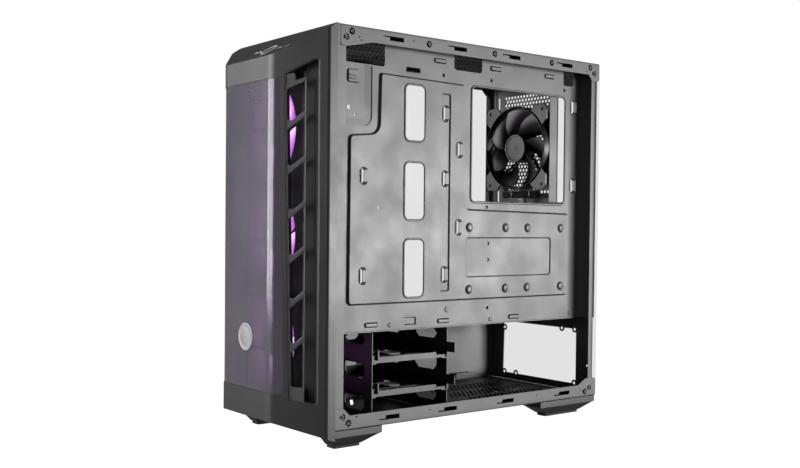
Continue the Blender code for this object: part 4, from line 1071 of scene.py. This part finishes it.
def fan_wheel(name, node, body, finish, chord):
    """Hub with a ringed cap and swept, twisted blades, built around its own axle. The rear fan turns
    the other way, so its blades are mirrored."""
    centre = centre_of(node.replace("rotor", "frame"))
    hub = bmesh.new()
    front = -FAN_DEPTH / 2
    cap = [(0, 0.0016), (0.0008, 0.0014), (0.0014, 0.0019), (0.0155, 0.0016), (0.0162, 0.0020),
           (0.0172, 0.0020), (0.0178, 0.0013), (0.0194, 0.0013), (0.0204, 0.0024), (HUB, 0.0040)]
    rim = [(HUB, 0.0047), (0.0180, 0.0045), (0, 0.0045)]
    lathe(hub, facing("+Y"), [(radius, front + depth) for radius, depth in cap]
          + [(radius, -front - depth) for radius, depth in rim], DETAIL_STEPS)
    blades = bmesh.new()
    for number in range(BLADES):
        fan_blade(blades, 2 * math.pi * number / BLADES, front, chord)
    if body == "rear_fan":
        mirror(blades)
    piece(name + "_blades", blades, finish, [node], body=body, at=centre)
    piece(name + "_hub", hub, "fan_plastic", body=body, at=centre)


def fan_blade(solid, turn, front, chord):
    """One swept blade: two cambered skins that thin out towards their edges, closed all round."""
    spans, widths, tip, thick = 8, 10, 0.0558, 0.0011
    root = HUB - 0.0010
    skins = []
    for skin in (-0.5, 0.5):
        rows = []
        for span in range(spans + 1):
            share = span / spans
            radius = root + share * (tip - root)
            lead = turn + 0.34 * share ** 1.4 - 0.05 * math.sin(math.pi * share)
            width = chord * (1 + 0.18 * share - 0.11 * max(0.0, share - 0.85) / 0.15)
            rise = 0.0158 * (1 - 0.34 * share)
            row = []
            for step in range(widths + 1):
                along = step / widths
                camber = 0.0016 * math.sin(math.pi * along)
                rib = thick * (0.35 + 0.65 * math.sin(math.pi * min(max(along, 0.04), 0.96)))
                y = front + 0.0112 + (along - 0.5) * rise - camber + skin * rib
                angle = lead + along * width
                row.append(solid.verts.new((radius * math.cos(angle), y, radius * math.sin(angle))))
            rows.append(row)
        skins.append(rows)
    for rows, outward in zip(skins, (True, False)):
        grid(solid, rows, outward)
    for end in (0, -1):
        grid(solid, [rows[end] for rows in skins], end == -1)
        grid(solid, [[row[end] for row in rows] for rows in skins], end == 0)


def tube(solid, path, radius, steps=8):
    """A round cord along a path of points."""
    rings = []
    for index, here in enumerate(path):
        before, after = path[max(index - 1, 0)], path[min(index + 1, len(path) - 1)]
        along = (after - before).normalized()
        side = along.cross(Vector((0, 0, 1)) if abs(along.z) < 0.9 else Vector((1, 0, 0))).normalized()
        up = side.cross(along)
        rings.append([solid.verts.new(here + radius * (side * math.cos(t) + up * math.sin(t)))
                      for t in (2 * math.pi * step / steps for step in range(steps))])
    for lower, upper in zip(rings, rings[1:]):
        for here in range(steps):
            after = (here + 1) % steps
            solid.faces.new((lower[here], upper[here], upper[after], lower[after]))
    solid.faces.new(rings[0])
    solid.faces.new(rings[-1][::-1])


def fan_guard():
    """The plate that closes the space around the front fans, just ahead of their housings."""
    low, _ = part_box("front_fan_frame_lower")
    _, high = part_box("front_fan_frame_upper")
    bores = [circle(*face_centre("front_fan_frame_" + level), FAN_BORE, 72) for level in FRONT_FANS]
    solid = bmesh.new()
    outline = rectangle(-0.0745, 0.0745, low.z - 0.003, high.z + 0.003, 0.004)
    prism(solid, facing("-Y"), [outline, *bores], -low.y + 0.0002, -low.y + 0.0012)
    # the guard takes the lightened plastic, which is painted light
    piece("fan_guard_plate", solid, "vent_plastic_painted_light", eased=0.0002)


def fan_lead():
    """The rear fan's cord, folded back and forth under the fan and tied, and its plug."""
    low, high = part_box("rear_fan_lead")
    solid = bmesh.new()
    middle = (low + high) / 2
    radius = 0.00125
    strands = ((-1, -1), (1, -1), (0, 0.1), (-1, 1.1), (1, 1.1), (0, 2.0), (0, -2))
    for strand, (dy, dz) in enumerate(strands):
        path = []
        for step in range(25):
            share = step / 24
            squeeze = 0.55 + 0.45 * abs(math.cos(math.pi * (share - 0.02) * 2))
            sway = 0.0006 * math.sin(share * 17 + strand * 1.9)
            path.append(Vector((low.x + 0.002 + share * (high.x - low.x - 0.004),
                                middle.y + dy * 0.0024 * squeeze + sway,
                                middle.z + dz * 0.0020 * squeeze + sway * 0.5)))
        tube(solid, path, radius)
    for x in (low.x + 0.020, high.x - 0.018):
        prism(solid, facing("+X"), [centred(middle.y, middle.z, 0.0078, 0.0098, 0.003),
                                    centred(middle.y, middle.z, 0.0066, 0.0086, 0.0024)], x, x + 0.0030)
    piece("fan_cord_bundle", solid, "fan_plastic", ["rear_fan_lead"])
    low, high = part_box("rear_fan_connector")
    solid = bmesh.new()
    pins = [centred(low.x + 0.0018 + pin * 0.0028, (low.z + high.z) / 2, 0.0017, 0.0030, 0.0002, 1)
            for pin in range(4)]
    outline = rectangle(low.x, high.x, low.z, high.z, 0.0003, 1)
    prism(solid, facing("-Y"), [outline, *pins], -high.y, -low.y)
    block(solid, (low.x, high.x), (low.y + 0.0030, high.y), (low.z + 0.0005, high.z - 0.0005))
    block(solid, within(low.x, high.x, 0.003), within(low.y, high.y, 0.001),
          (high.z - 0.0002, high.z + 0.0005))
    piece("fan_plug", solid, "white_plastic", ["rear_fan_connector"], eased=0.0002)


def fans():
    # The front wheels' blades carry the painted glow of the lit_rotor finish.
    for level in FRONT_FANS:
        fan_housing("front_housing_" + level, "front_fan_frame_" + level, False)
        fan_wheel("front_wheel_" + level, "front_fan_rotor_" + level, "front_fan_" + level,
                  "lit_rotor", 1.02)
    fan_guard()
    fan_housing("rear_housing", "rear_fan_frame", True)
    fan_wheel("rear_wheel", "rear_fan_rotor", "rear_fan", "fan_plastic", 0.72)
    fan_lead()


# --- Bezel details --------------------------------------------------------------------------------

CHEEK_SPAN = Vector((0.0565, 0.040))         # one angled cheek of the bezel, across and back
CHEEK_START = 0.052                          # x where it leaves the flat front
WINDOW_LOW, WINDOW_HIGH = 0.0565, 0.4140     # height range of its window
WINDOW_FRONT = (0.0241, 0.0161)              # the window's front edge along the cheek, low and high
WINDOW_REAR = 0.0579                         # and its rear edge
LOUVRE_REAR = 0.0420                         # rear edge of the louvres in it
LOUVRE_LEVEL = -0.0012                       # their face, sunk below the cheek
RIBS = 6
RIB_START, RIB_PITCH, RIB_RISE, RIB_WIDTH = 0.1130, 0.0489, 0.0155, 0.0067
CELLS_LOW, CELLS_HIGH = 0.0705, 0.3950       # lower edge of the first cell, upper edge of the last
TOP_BAR_RISE, TOP_BAR = 0.0088, 0.0052       # rise and height of the bar above the highest cell


def cheek_place():
    """The plane of the bezel's angled cheek: local X runs back along it, and Y is up."""
    along = Vector((CHEEK_SPAN.x, CHEEK_SPAN.y, 0)).normalized()
    outward = Vector((along.y, -along.x, 0))
    columns = Matrix((along, Vector((0, 0, 1)), outward)).transposed().to_4x4()
    return Matrix.Translation((CHEEK_START, BEZEL_LOW.y, 0)) @ columns


def window_front(z):
    """Distance along the cheek of the side window's front edge, which leans forwards as it rises."""
    low, high = WINDOW_FRONT
    return low + (high - low) * (z - WINDOW_LOW) / (WINDOW_HIGH - WINDOW_LOW)


def window_outline(reach):
    """The side window's outline, moved in by a distance."""
    corners = [(window_front(WINDOW_LOW) + reach, WINDOW_LOW + reach),
               (WINDOW_REAR - reach, WINDOW_LOW - 0.0055 + reach),
               (WINDOW_REAR - reach, WINDOW_HIGH + 0.0160 - reach),
               (window_front(WINDOW_HIGH) + reach, WINDOW_HIGH - reach)]
    return rounded(corners, 0.004 - min(reach, 0.002))


def louvres():
    """The inserts in the bezel's side windows: a deep rim and seven slanted, rounded cells."""
    place = cheek_place()
    for side, name in ((1, "right"), (-1, "left")):
        rim = bmesh.new()
        prism(rim, place, [window_outline(GAP), window_outline(0.0014)], -0.0118, -0.0005)
        face = bmesh.new()
        low, high = WINDOW_LOW - 0.0030, CELLS_HIGH + TOP_BAR
        start = window_front(high) + 0.0003
        outline = rounded([(window_front(low) + 0.0003, low), (LOUVRE_REAR, low),
                           (LOUVRE_REAR, high + TOP_BAR_RISE), (start, high)], 0)
        cells = [louvre_cell(number) for number in range(RIBS + 1)]
        press(face, place, ring_of(face, place, outline, LOUVRE_LEVEL), LOUVRE_LEVEL, cells)
        tab = rounded([(start, high - 0.0010), (0.0291, high + 0.0036), (0.0285, WINDOW_HIGH - 0.0002),
                       (start, WINDOW_HIGH - 0.0024)], (0, 0.001, 0.003, 0.001))
        prism(face, place, [tab], LOUVRE_LEVEL - 0.0018, LOUVRE_LEVEL - 0.0006)
        bead = [place @ Vector((WINDOW_REAR + 0.0004, z, -0.0004))
                for z in (WINDOW_LOW - 0.0020, WINDOW_HIGH + 0.0125)]
        tube(rim, bead, 0.0008)
        backing = bmesh.new()
        for outline in (rectangle(LOUVRE_REAR - 0.0040, WINDOW_REAR - 0.0016,
                                  WINDOW_LOW - 0.0030, WINDOW_HIGH + 0.0120),
                        rectangle(0.0010, window_front(WINDOW_HIGH) - 0.0020, WINDOW_LOW, WINDOW_HIGH)):
            prism(backing, place, [outline], -0.0112, -0.0102)
        for solid in (rim, face, backing):
            if side < 0:
                mirror(solid)
        piece("vent_backing_" + name, backing, "fan_plastic")
        # the rim and the louvres take the lightened plastic, which is painted light
        piece("vent_rim_" + name, rim, "vent_plastic_painted_light", ["side_vent_" + name], eased=0.0003)
        piece("vent_louvres_" + name, face, "vent_plastic_painted_light", thickness=0.0008)


def louvre_cell(number):
    """The opening above a slanted rib; the lowest and the highest cell have a level outer edge."""
    steps, radius = 4, 0.0010
    low_front = RIB_START + (number - 1) * RIB_PITCH if number else CELLS_LOW
    low_rear = low_front + (RIB_RISE if number else 0.0)
    high_front = RIB_START + number * RIB_PITCH - RIB_WIDTH if number < RIBS else CELLS_HIGH
    high_rear = high_front + (RIB_RISE if number < RIBS else TOP_BAR_RISE)
    front_low, front_high = (window_front(z) + 0.0021 - radius for z in (low_front, high_front))
    rear = LOUVRE_REAR - 0.0004
    corners = [(front_low, low_front - radius), (rear, low_rear - radius), (rear, high_rear + radius),
               (front_high, high_front + radius)]
    turns = [math.pi / 2 * step / steps for step in range(1, steps + 1)]
    profile = [(radius * math.sin(turn), radius * (math.cos(turn) - 1)) for turn in turns]
    return (rounded(corners, (0.0050, 0.0012, 0.0012, 0.0060), 6), profile, None)


def mirror(solid):
    """Mirror a mesh across the middle of the case."""
    bmesh.ops.transform(solid, matrix=Matrix.Scale(-1, 4, (1, 0, 0)), verts=solid.verts[:])
    bmesh.ops.reverse_faces(solid, faces=solid.faces[:])


def woven(solid, x_range, v_range, place, level, pitch=0.0026, thread=0.0006):
    """A screen of crossing threads in the plane of place."""
    width, height = x_range[1] - x_range[0], v_range[1] - v_range[0]
    columns, rows = int(width / pitch), int(height / pitch)
    for column in range(1, columns):
        x = x_range[0] + width * column / columns
        prism(solid, place, [rectangle(x - thread / 2, x + thread / 2, *v_range)],
              level, level + thread / 2)
    for row in range(1, rows):
        v = v_range[0] + height * row / rows
        prism(solid, place, [rectangle(*x_range, v - thread / 2, v + thread / 2)],
              level + thread / 2, level + thread)


def screen(name, node, place, levels, outline, windows, net, net_level, body="chassis", grip=None):
    """A dust filter: a moulded frame with windows, a woven net across it, and a grip where it has one."""
    solid = bmesh.new()
    prism(solid, place, [outline, *windows], *levels)
    woven(solid, *net, place, net_level)
    if grip:
        prism(solid, place, *grip)
    piece(name, solid, "black_plastic", [node], body=body)


def screens():
    low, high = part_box("front_dust_filter")
    windows = [centred(side * 0.0215, 0.0800 + step * 0.0605, 0.0400, 0.0560, 0.003, 3)
               for side in (-1, 1) for step in range(6)]
    screen("front_screen", "front_dust_filter", facing("-Y"), (-high.y, -low.y),
           rectangle(low.x, high.x, low.z, high.z, 0.003, 4), windows,
           (within(low.x, high.x, 0.004), within(low.z, high.z, 0.005)), -(low.y + high.y) / 2)

    low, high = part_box("top_dust_filter")
    windows = [centred(side * 0.032, -0.1380 + step * 0.0735, 0.0570, 0.0660, 0.004, 4)
               for side in (-1, 1) for step in range(5)]
    screen("top_screen", "top_dust_filter", facing("+Z"), (low.z, high.z),
           rectangle(low.x, high.x, low.y, high.y, 0.006, 5), windows,
           (within(low.x, high.x, 0.007), within(low.y, high.y, 0.007)), low.z + 0.0002)
    cloth = bmesh.new()
    block(cloth, within(low.x, high.x, 0.006), within(low.y, high.y, 0.006), (low.z, low.z + 0.00015))
    piece("top_screen_cloth", cloth, "black_plastic")

    low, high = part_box("psu_dust_filter")
    frame_end = 0.2200
    windows = [centred(x, y, 0.0340, 0.0440, 0.003, 4) for x in (-0.0380, 0.0, 0.0380)
               for y in (0.0910, 0.1400, 0.1890)]
    grip = [centred(0, 0.2232, 0.044, 0.0084, 0.002, 4), centred(0, 0.2228, 0.030, 0.0028, 0.0012, 4)]
    screen("supply_screen", "psu_dust_filter", facing("+Z"), (high.z - 0.0026, high.z - 0.0002),
           rectangle(low.x, high.x, low.y, frame_end, 0.003, 4), windows,
           (within(low.x, high.x, 0.006), (low.y + 0.006, frame_end - 0.007)), high.z - 0.0016,
           "psu_filter", (grip, *within(low.z, high.z, 0.0002)))


# --- Feet and small parts -------------------------------------------------------------------------

def foot(corner):
    """A moulded foot, straight below the floor, then tapering to a grooved rubber pad."""
    low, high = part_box("foot_" + corner)
    pad_low, pad_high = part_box("foot_pad_" + corner)
    level = Matrix.Identity(4)
    rim = Vector((0.001, 0.001, 0))
    solid = bmesh.new()
    rings = []
    for share, nip, z in ((0, 0, high.z), (0, 0, 0.0142), (0.06, 0.000564, 0.0137), (1, 0, low.z)):
        start = low.lerp(pad_low - rim, share)
        end = high.lerp(pad_high + rim, share)
        loop = rectangle(start.x + nip, end.x - nip, start.y + nip, end.y - nip, 0.0018, 3)
        rings.append(ring_of(solid, level, loop, z))
    fill(solid, [rings[0]])
    for upper, lower in zip(rings, rings[1:]):
        bridge(solid, lower, upper)
    fill(solid, [rings[-1]], downward=True)
    piece("moulded_foot_" + corner, solid, "black_plastic", ["foot_" + corner], eased=0.0005)

    pad = bmesh.new()
    size = pad_high - pad_low
    pitch = 0.006
    grooves = [centred((pad_low.x + pad_high.x) / 2, pad_low.y + (step + 1) * pitch,
                       size.x - 0.005, 0.0018, 0.0008, 3)
               for step in range(int((size.y - 0.008) / pitch))]
    outline = rectangle(pad_low.x, pad_high.x, pad_low.y, pad_high.y, 0.003)
    prism(pad, level, [outline], 0.0008, pad_high.z)
    prism(pad, level, [outline, *grooves], 0.0, 0.0010)
    piece("grip_pad_" + corner, pad, "rubber", ["foot_pad_" + corner], eased=0.0003)


SLOPE = 0.66                  # rise of the bezel's sloping top for each metre back
CONTROL_Y = -0.2308           # the row of buttons and ports
CAP_TOP = -0.0001             # level of the buttons' rims, from the slope


def slope_place(node):
    """The sloping top's plane at a control: local Y up the slope and Z out of it."""
    top_z = BEZEL_HIGH.z + 0.0002 + SLOPE * (CONTROL_Y - FRONT_Y)
    point = (centre_of(node).x, CONTROL_Y, top_z)
    return Matrix.Translation(point) @ Matrix.Rotation(math.atan(SLOPE), 4, "X")


def buttons():
    """The power and reset buttons with dished caps, and the lit ring around the larger one."""
    ring = bmesh.new()
    lathe(ring, slope_place("power_light_ring"),
          [(0.0107, -0.0045), (0.0107, 0.0000), (0.0105, 0.0002), (0.0093, 0.0002), (0.0091, 0.0000),
           (0.0091, -0.0045), (0.0107, -0.0045)], DETAIL_STEPS)
    piece("lit_ring", ring, "light_ring", ["power_light_ring"])
    for node, radius in (("power_button", 0.0087), ("reset_button", 0.0032)):
        cap = bmesh.new()
        edge, dish = radius * 0.08, radius * 0.07
        profile = [(0, -0.0060), (radius, -0.0060), (radius, CAP_TOP - edge),
                   (radius - edge * 0.3, CAP_TOP - 0.0001), (radius - edge, CAP_TOP),
                   (radius * 0.7, CAP_TOP - dish * 0.5), (radius * 0.35, CAP_TOP - dish * 0.9),
                   (0, CAP_TOP - dish)]
        lathe(cap, slope_place(node), profile, DETAIL_STEPS)
        piece("dished_" + node, cap, "black_plastic", [node], body=node)


def ports():
    """Two audio jacks, and two USB ports that are a metal shell with a tongue inside."""
    low, mouth = -0.0132, -0.0002
    for number in (1, 2):
        jack = bmesh.new()
        lathe(jack, slope_place(f"audio_jack_{number}"),
              [(0.0033, low), (0.0033, mouth - 0.0002), (0.0030, mouth), (0.0021, mouth),
               (0.0018, mouth - 0.0004), (0.0018, -0.0120), (0, -0.0120)], 32)
        piece(f"jack_barrel_{number}", jack, "nickel", [f"audio_jack_{number}"])
        place = slope_place(f"usb_port_{number}")
        shell = bmesh.new()
        prism(shell, place, [centred(0, 0, 0.0134, 0.0060, 0.0008), centred(0, 0, 0.0126, 0.0052, 0.0005)],
              low, mouth)
        prism(shell, place, [centred(0, 0, 0.0130, 0.0056)], low, low + 0.0010)
        piece(f"usb_shell_{number}", shell, "nickel", [f"usb_port_{number}"])
        tongue = bmesh.new()
        prism(tongue, place, [centred(0, 0.0011, 0.0112, 0.0018, 0.0003)], -0.0124, -0.0016)
        piece(f"usb_tongue_{number}", tongue, "white_plastic")


def badge():
    """A plain round disc with a raised rim."""
    low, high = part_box("front_badge")
    disc = bmesh.new()
    place = standing((0, high.y, centre_of("front_badge").z), "-Y")
    thick = high.y - low.y
    lathe(disc, place, [(0, 0), (0.0159, 0), (0.0159, thick * 0.7), (0.0155, thick), (0.0140, thick),
                        (0.0136, thick * 0.6), (0.0110, thick * 0.6), (0.0106, thick * 0.9), (0, thick)], 64)
    piece("front_disc", disc, "silver_badge", ["front_badge"])


def thumbscrew():
    """The slot bracket's thumbscrew: a knurled head on a shank."""
    centre = centre_of("bracket_thumbscrew")
    seat_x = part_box("bracket_thumbscrew")[0].x
    place = standing((seat_x, centre.y, centre.z), "+X")
    solid = bmesh.new()
    knurls = 28
    loop = []
    for step in range(knurls * 4):
        reach = 0.0052 if step % 4 in (1, 2) else 0.0049
        turn = 2 * math.pi * step / (knurls * 4)
        loop.append(Vector((reach * math.cos(turn), reach * math.sin(turn))))
    prism(solid, place, [loop], 0.0014, 0.0058)
    lathe(solid, place, [(0, 0.0), (0.0042, 0.0), (0.0046, 0.0016), (0, 0.0016)], 32)
    lathe(solid, place, [(0, 0.0056), (0.0038, 0.0056), (0.0036, 0.0107), (0, 0.0107)], 32)
    piece("knurled_thumbscrew", solid, "black_steel", ["bracket_thumbscrew"])


# --- Carried-over CAD nodes -----------------------------------------------------------------------

def dress_frame_nodes():
    """Give every CAD node that still shows its finish and eased edges."""
    slots = {part["node"]: part["material_slot"] for part in frame["record"]["subparts"]}
    for name, node in NODES.items():
        node.data.materials.clear()
        node.data.materials.append(FINISHES[slots[name]])
        if not node.hide_render:
            ease_edges(node, 0.0003)
            soften(node)


# --- Studio ---------------------------------------------------------------------------------------

def surroundings():
    """A white world, much brighter to the camera than to the object."""
    world = bpy.data.worlds.new("studio")
    world.use_nodes = True
    bpy.context.scene.world = world
    tree = world.node_tree
    background = tree.nodes["Background"]
    background.inputs["Color"].default_value = (1.0, 1.0, 1.0, 1)
    path = tree.nodes.new("ShaderNodeLightPath")
    strength = tree.nodes.new("ShaderNodeMapRange")
    strength.inputs["To Min"].default_value = WORLD_LIGHT
    strength.inputs["To Max"].default_value = 1.0
    tree.links.new(path.outputs["Is Camera Ray"], strength.inputs["Value"])
    tree.links.new(strength.outputs[0], background.inputs["Strength"])
    bpy.context.scene.view_settings.view_transform = "Standard"


def paper_floor():
    """Pale paper that looks white, but casts little light back up at the object."""
    solid = bmesh.new()
    bmesh.ops.create_grid(solid, x_segments=1, y_segments=1, size=6.0)
    ground = show("studio_floor", solid)
    paper = Finish("paper", Emission_Color=(1, 1, 1, 1))
    rays = paper.add("ShaderNodeLightPath").outputs
    mirrored_glow = paper.maths("MULTIPLY", rays["Is Glossy Ray"], FLOOR_GLOW)
    paper.feed(paper.shader.inputs["Emission Strength"],
               paper.maths("ADD", rays["Is Camera Ray"], mirrored_glow))
    paper.surface(paper.blend(paper.noise(3), (0.14, 0.14, 0.14, 1), (0.16, 0.16, 0.16, 1)),
                  paper.noise(5, 0.85, 0.95))
    ground.data.materials.append(paper.material)


def card(name, place, outline, shades):
    """A card beside an open side: it shows pale grey through the case's openings, can't be seen from
    its other side, and where it shades, keeps the front softbox out."""
    solid = bmesh.new()
    fill(solid, [ring_of(solid, place, outline, 0)])
    thing = show(name, solid)
    paper = Finish(name, Emission_Color=(1, 1, 1, 1), Emission_Strength=CARD_GLOW)
    paper.surface(paper.blend(paper.noise(9), (0.01, 0.01, 0.01, 1), (0.02, 0.02, 0.02, 1)), 0.9)
    behind = paper.add("ShaderNodeNewGeometry").outputs["Backfacing"]
    clear = paper.add("ShaderNodeBsdfTransparent").outputs[0]
    mix = paper.add("ShaderNodeMixShader", {0: behind, 1: paper.shader.outputs[0], 2: clear})
    paper.feed(paper.tree.nodes["Material Output"].inputs["Surface"], mix.outputs[0])
    thing.data.materials.append(paper.material)
    thing.visible_shadow = shades
    thing.visible_diffuse = False
    thing.visible_glossy = False
    thing.visible_transmission = False


def softbox(name, place, target, size, power):
    """A rectangular lamp that the camera doesn't see, aimed at a target."""
    light = bpy.data.lights.new(name, "AREA")
    light.shape = "RECTANGLE"
    light.size, light.size_y = size
    light.energy = power
    lamp = show(name, light)
    lamp.location = place
    lamp.rotation_euler = (Vector(target) - Vector(place)).to_track_quat("-Z", "Y").to_euler()
    lamp.visible_camera = False


def camera():
    data = bpy.data.cameras.new("camera")
    data.lens = LENS
    data.sensor_width = 36
    data.sensor_fit = "HORIZONTAL"
    data.shift_x, data.shift_y = LENS_SHIFT
    thing = show("camera", data)
    level = Matrix.Rotation(CAMERA_YAW, 4, "Z") @ Matrix.Rotation(math.pi / 2 + CAMERA_PITCH, 4, "X")
    turn = level @ Matrix.Rotation(CAMERA_ROLL, 4, "Z")
    thing.matrix_world = Matrix.Translation(CAMERA_PLACE) @ turn
    bpy.context.scene.camera = thing


camera()
surroundings()
paper_floor()
softbox("tray_side", (1.88, 1.22, 0.26), (0.08, 0.02, 0.12), (1.1, 0.5), 70)
softbox("front_side", (-0.95, -2.05, 0.45), (0.0, -0.25, 0.24), (2.1, 1.9), 94)
softbox("overhead", (0.3, 0.2, 2.4), (0.0, 0.0, 0.3), (1.6, 1.6), 12)
card("side_card", facing("+X", -0.112), rectangle(-0.15, 0.225, 0.03, 0.46), True)
card("rear_card", facing("-Y", 0.236), rectangle(-0.10, 0.10, 0.03, 0.46), False)
pressed_tray()
tray_parts()
board_standoffs()
top_and_floor()
fan_plate()
perforated_wall()
slot_covers()
shroud()
cage()
caddy("lower")
caddy("upper")
fans()
louvres()
screens()
for corner in ("front_left", "front_right", "rear_left", "rear_right"):
    foot(corner)
buttons()
ports()
badge()
thumbscrew()
dress_frame_nodes()

bpy.context.view_layer.update()
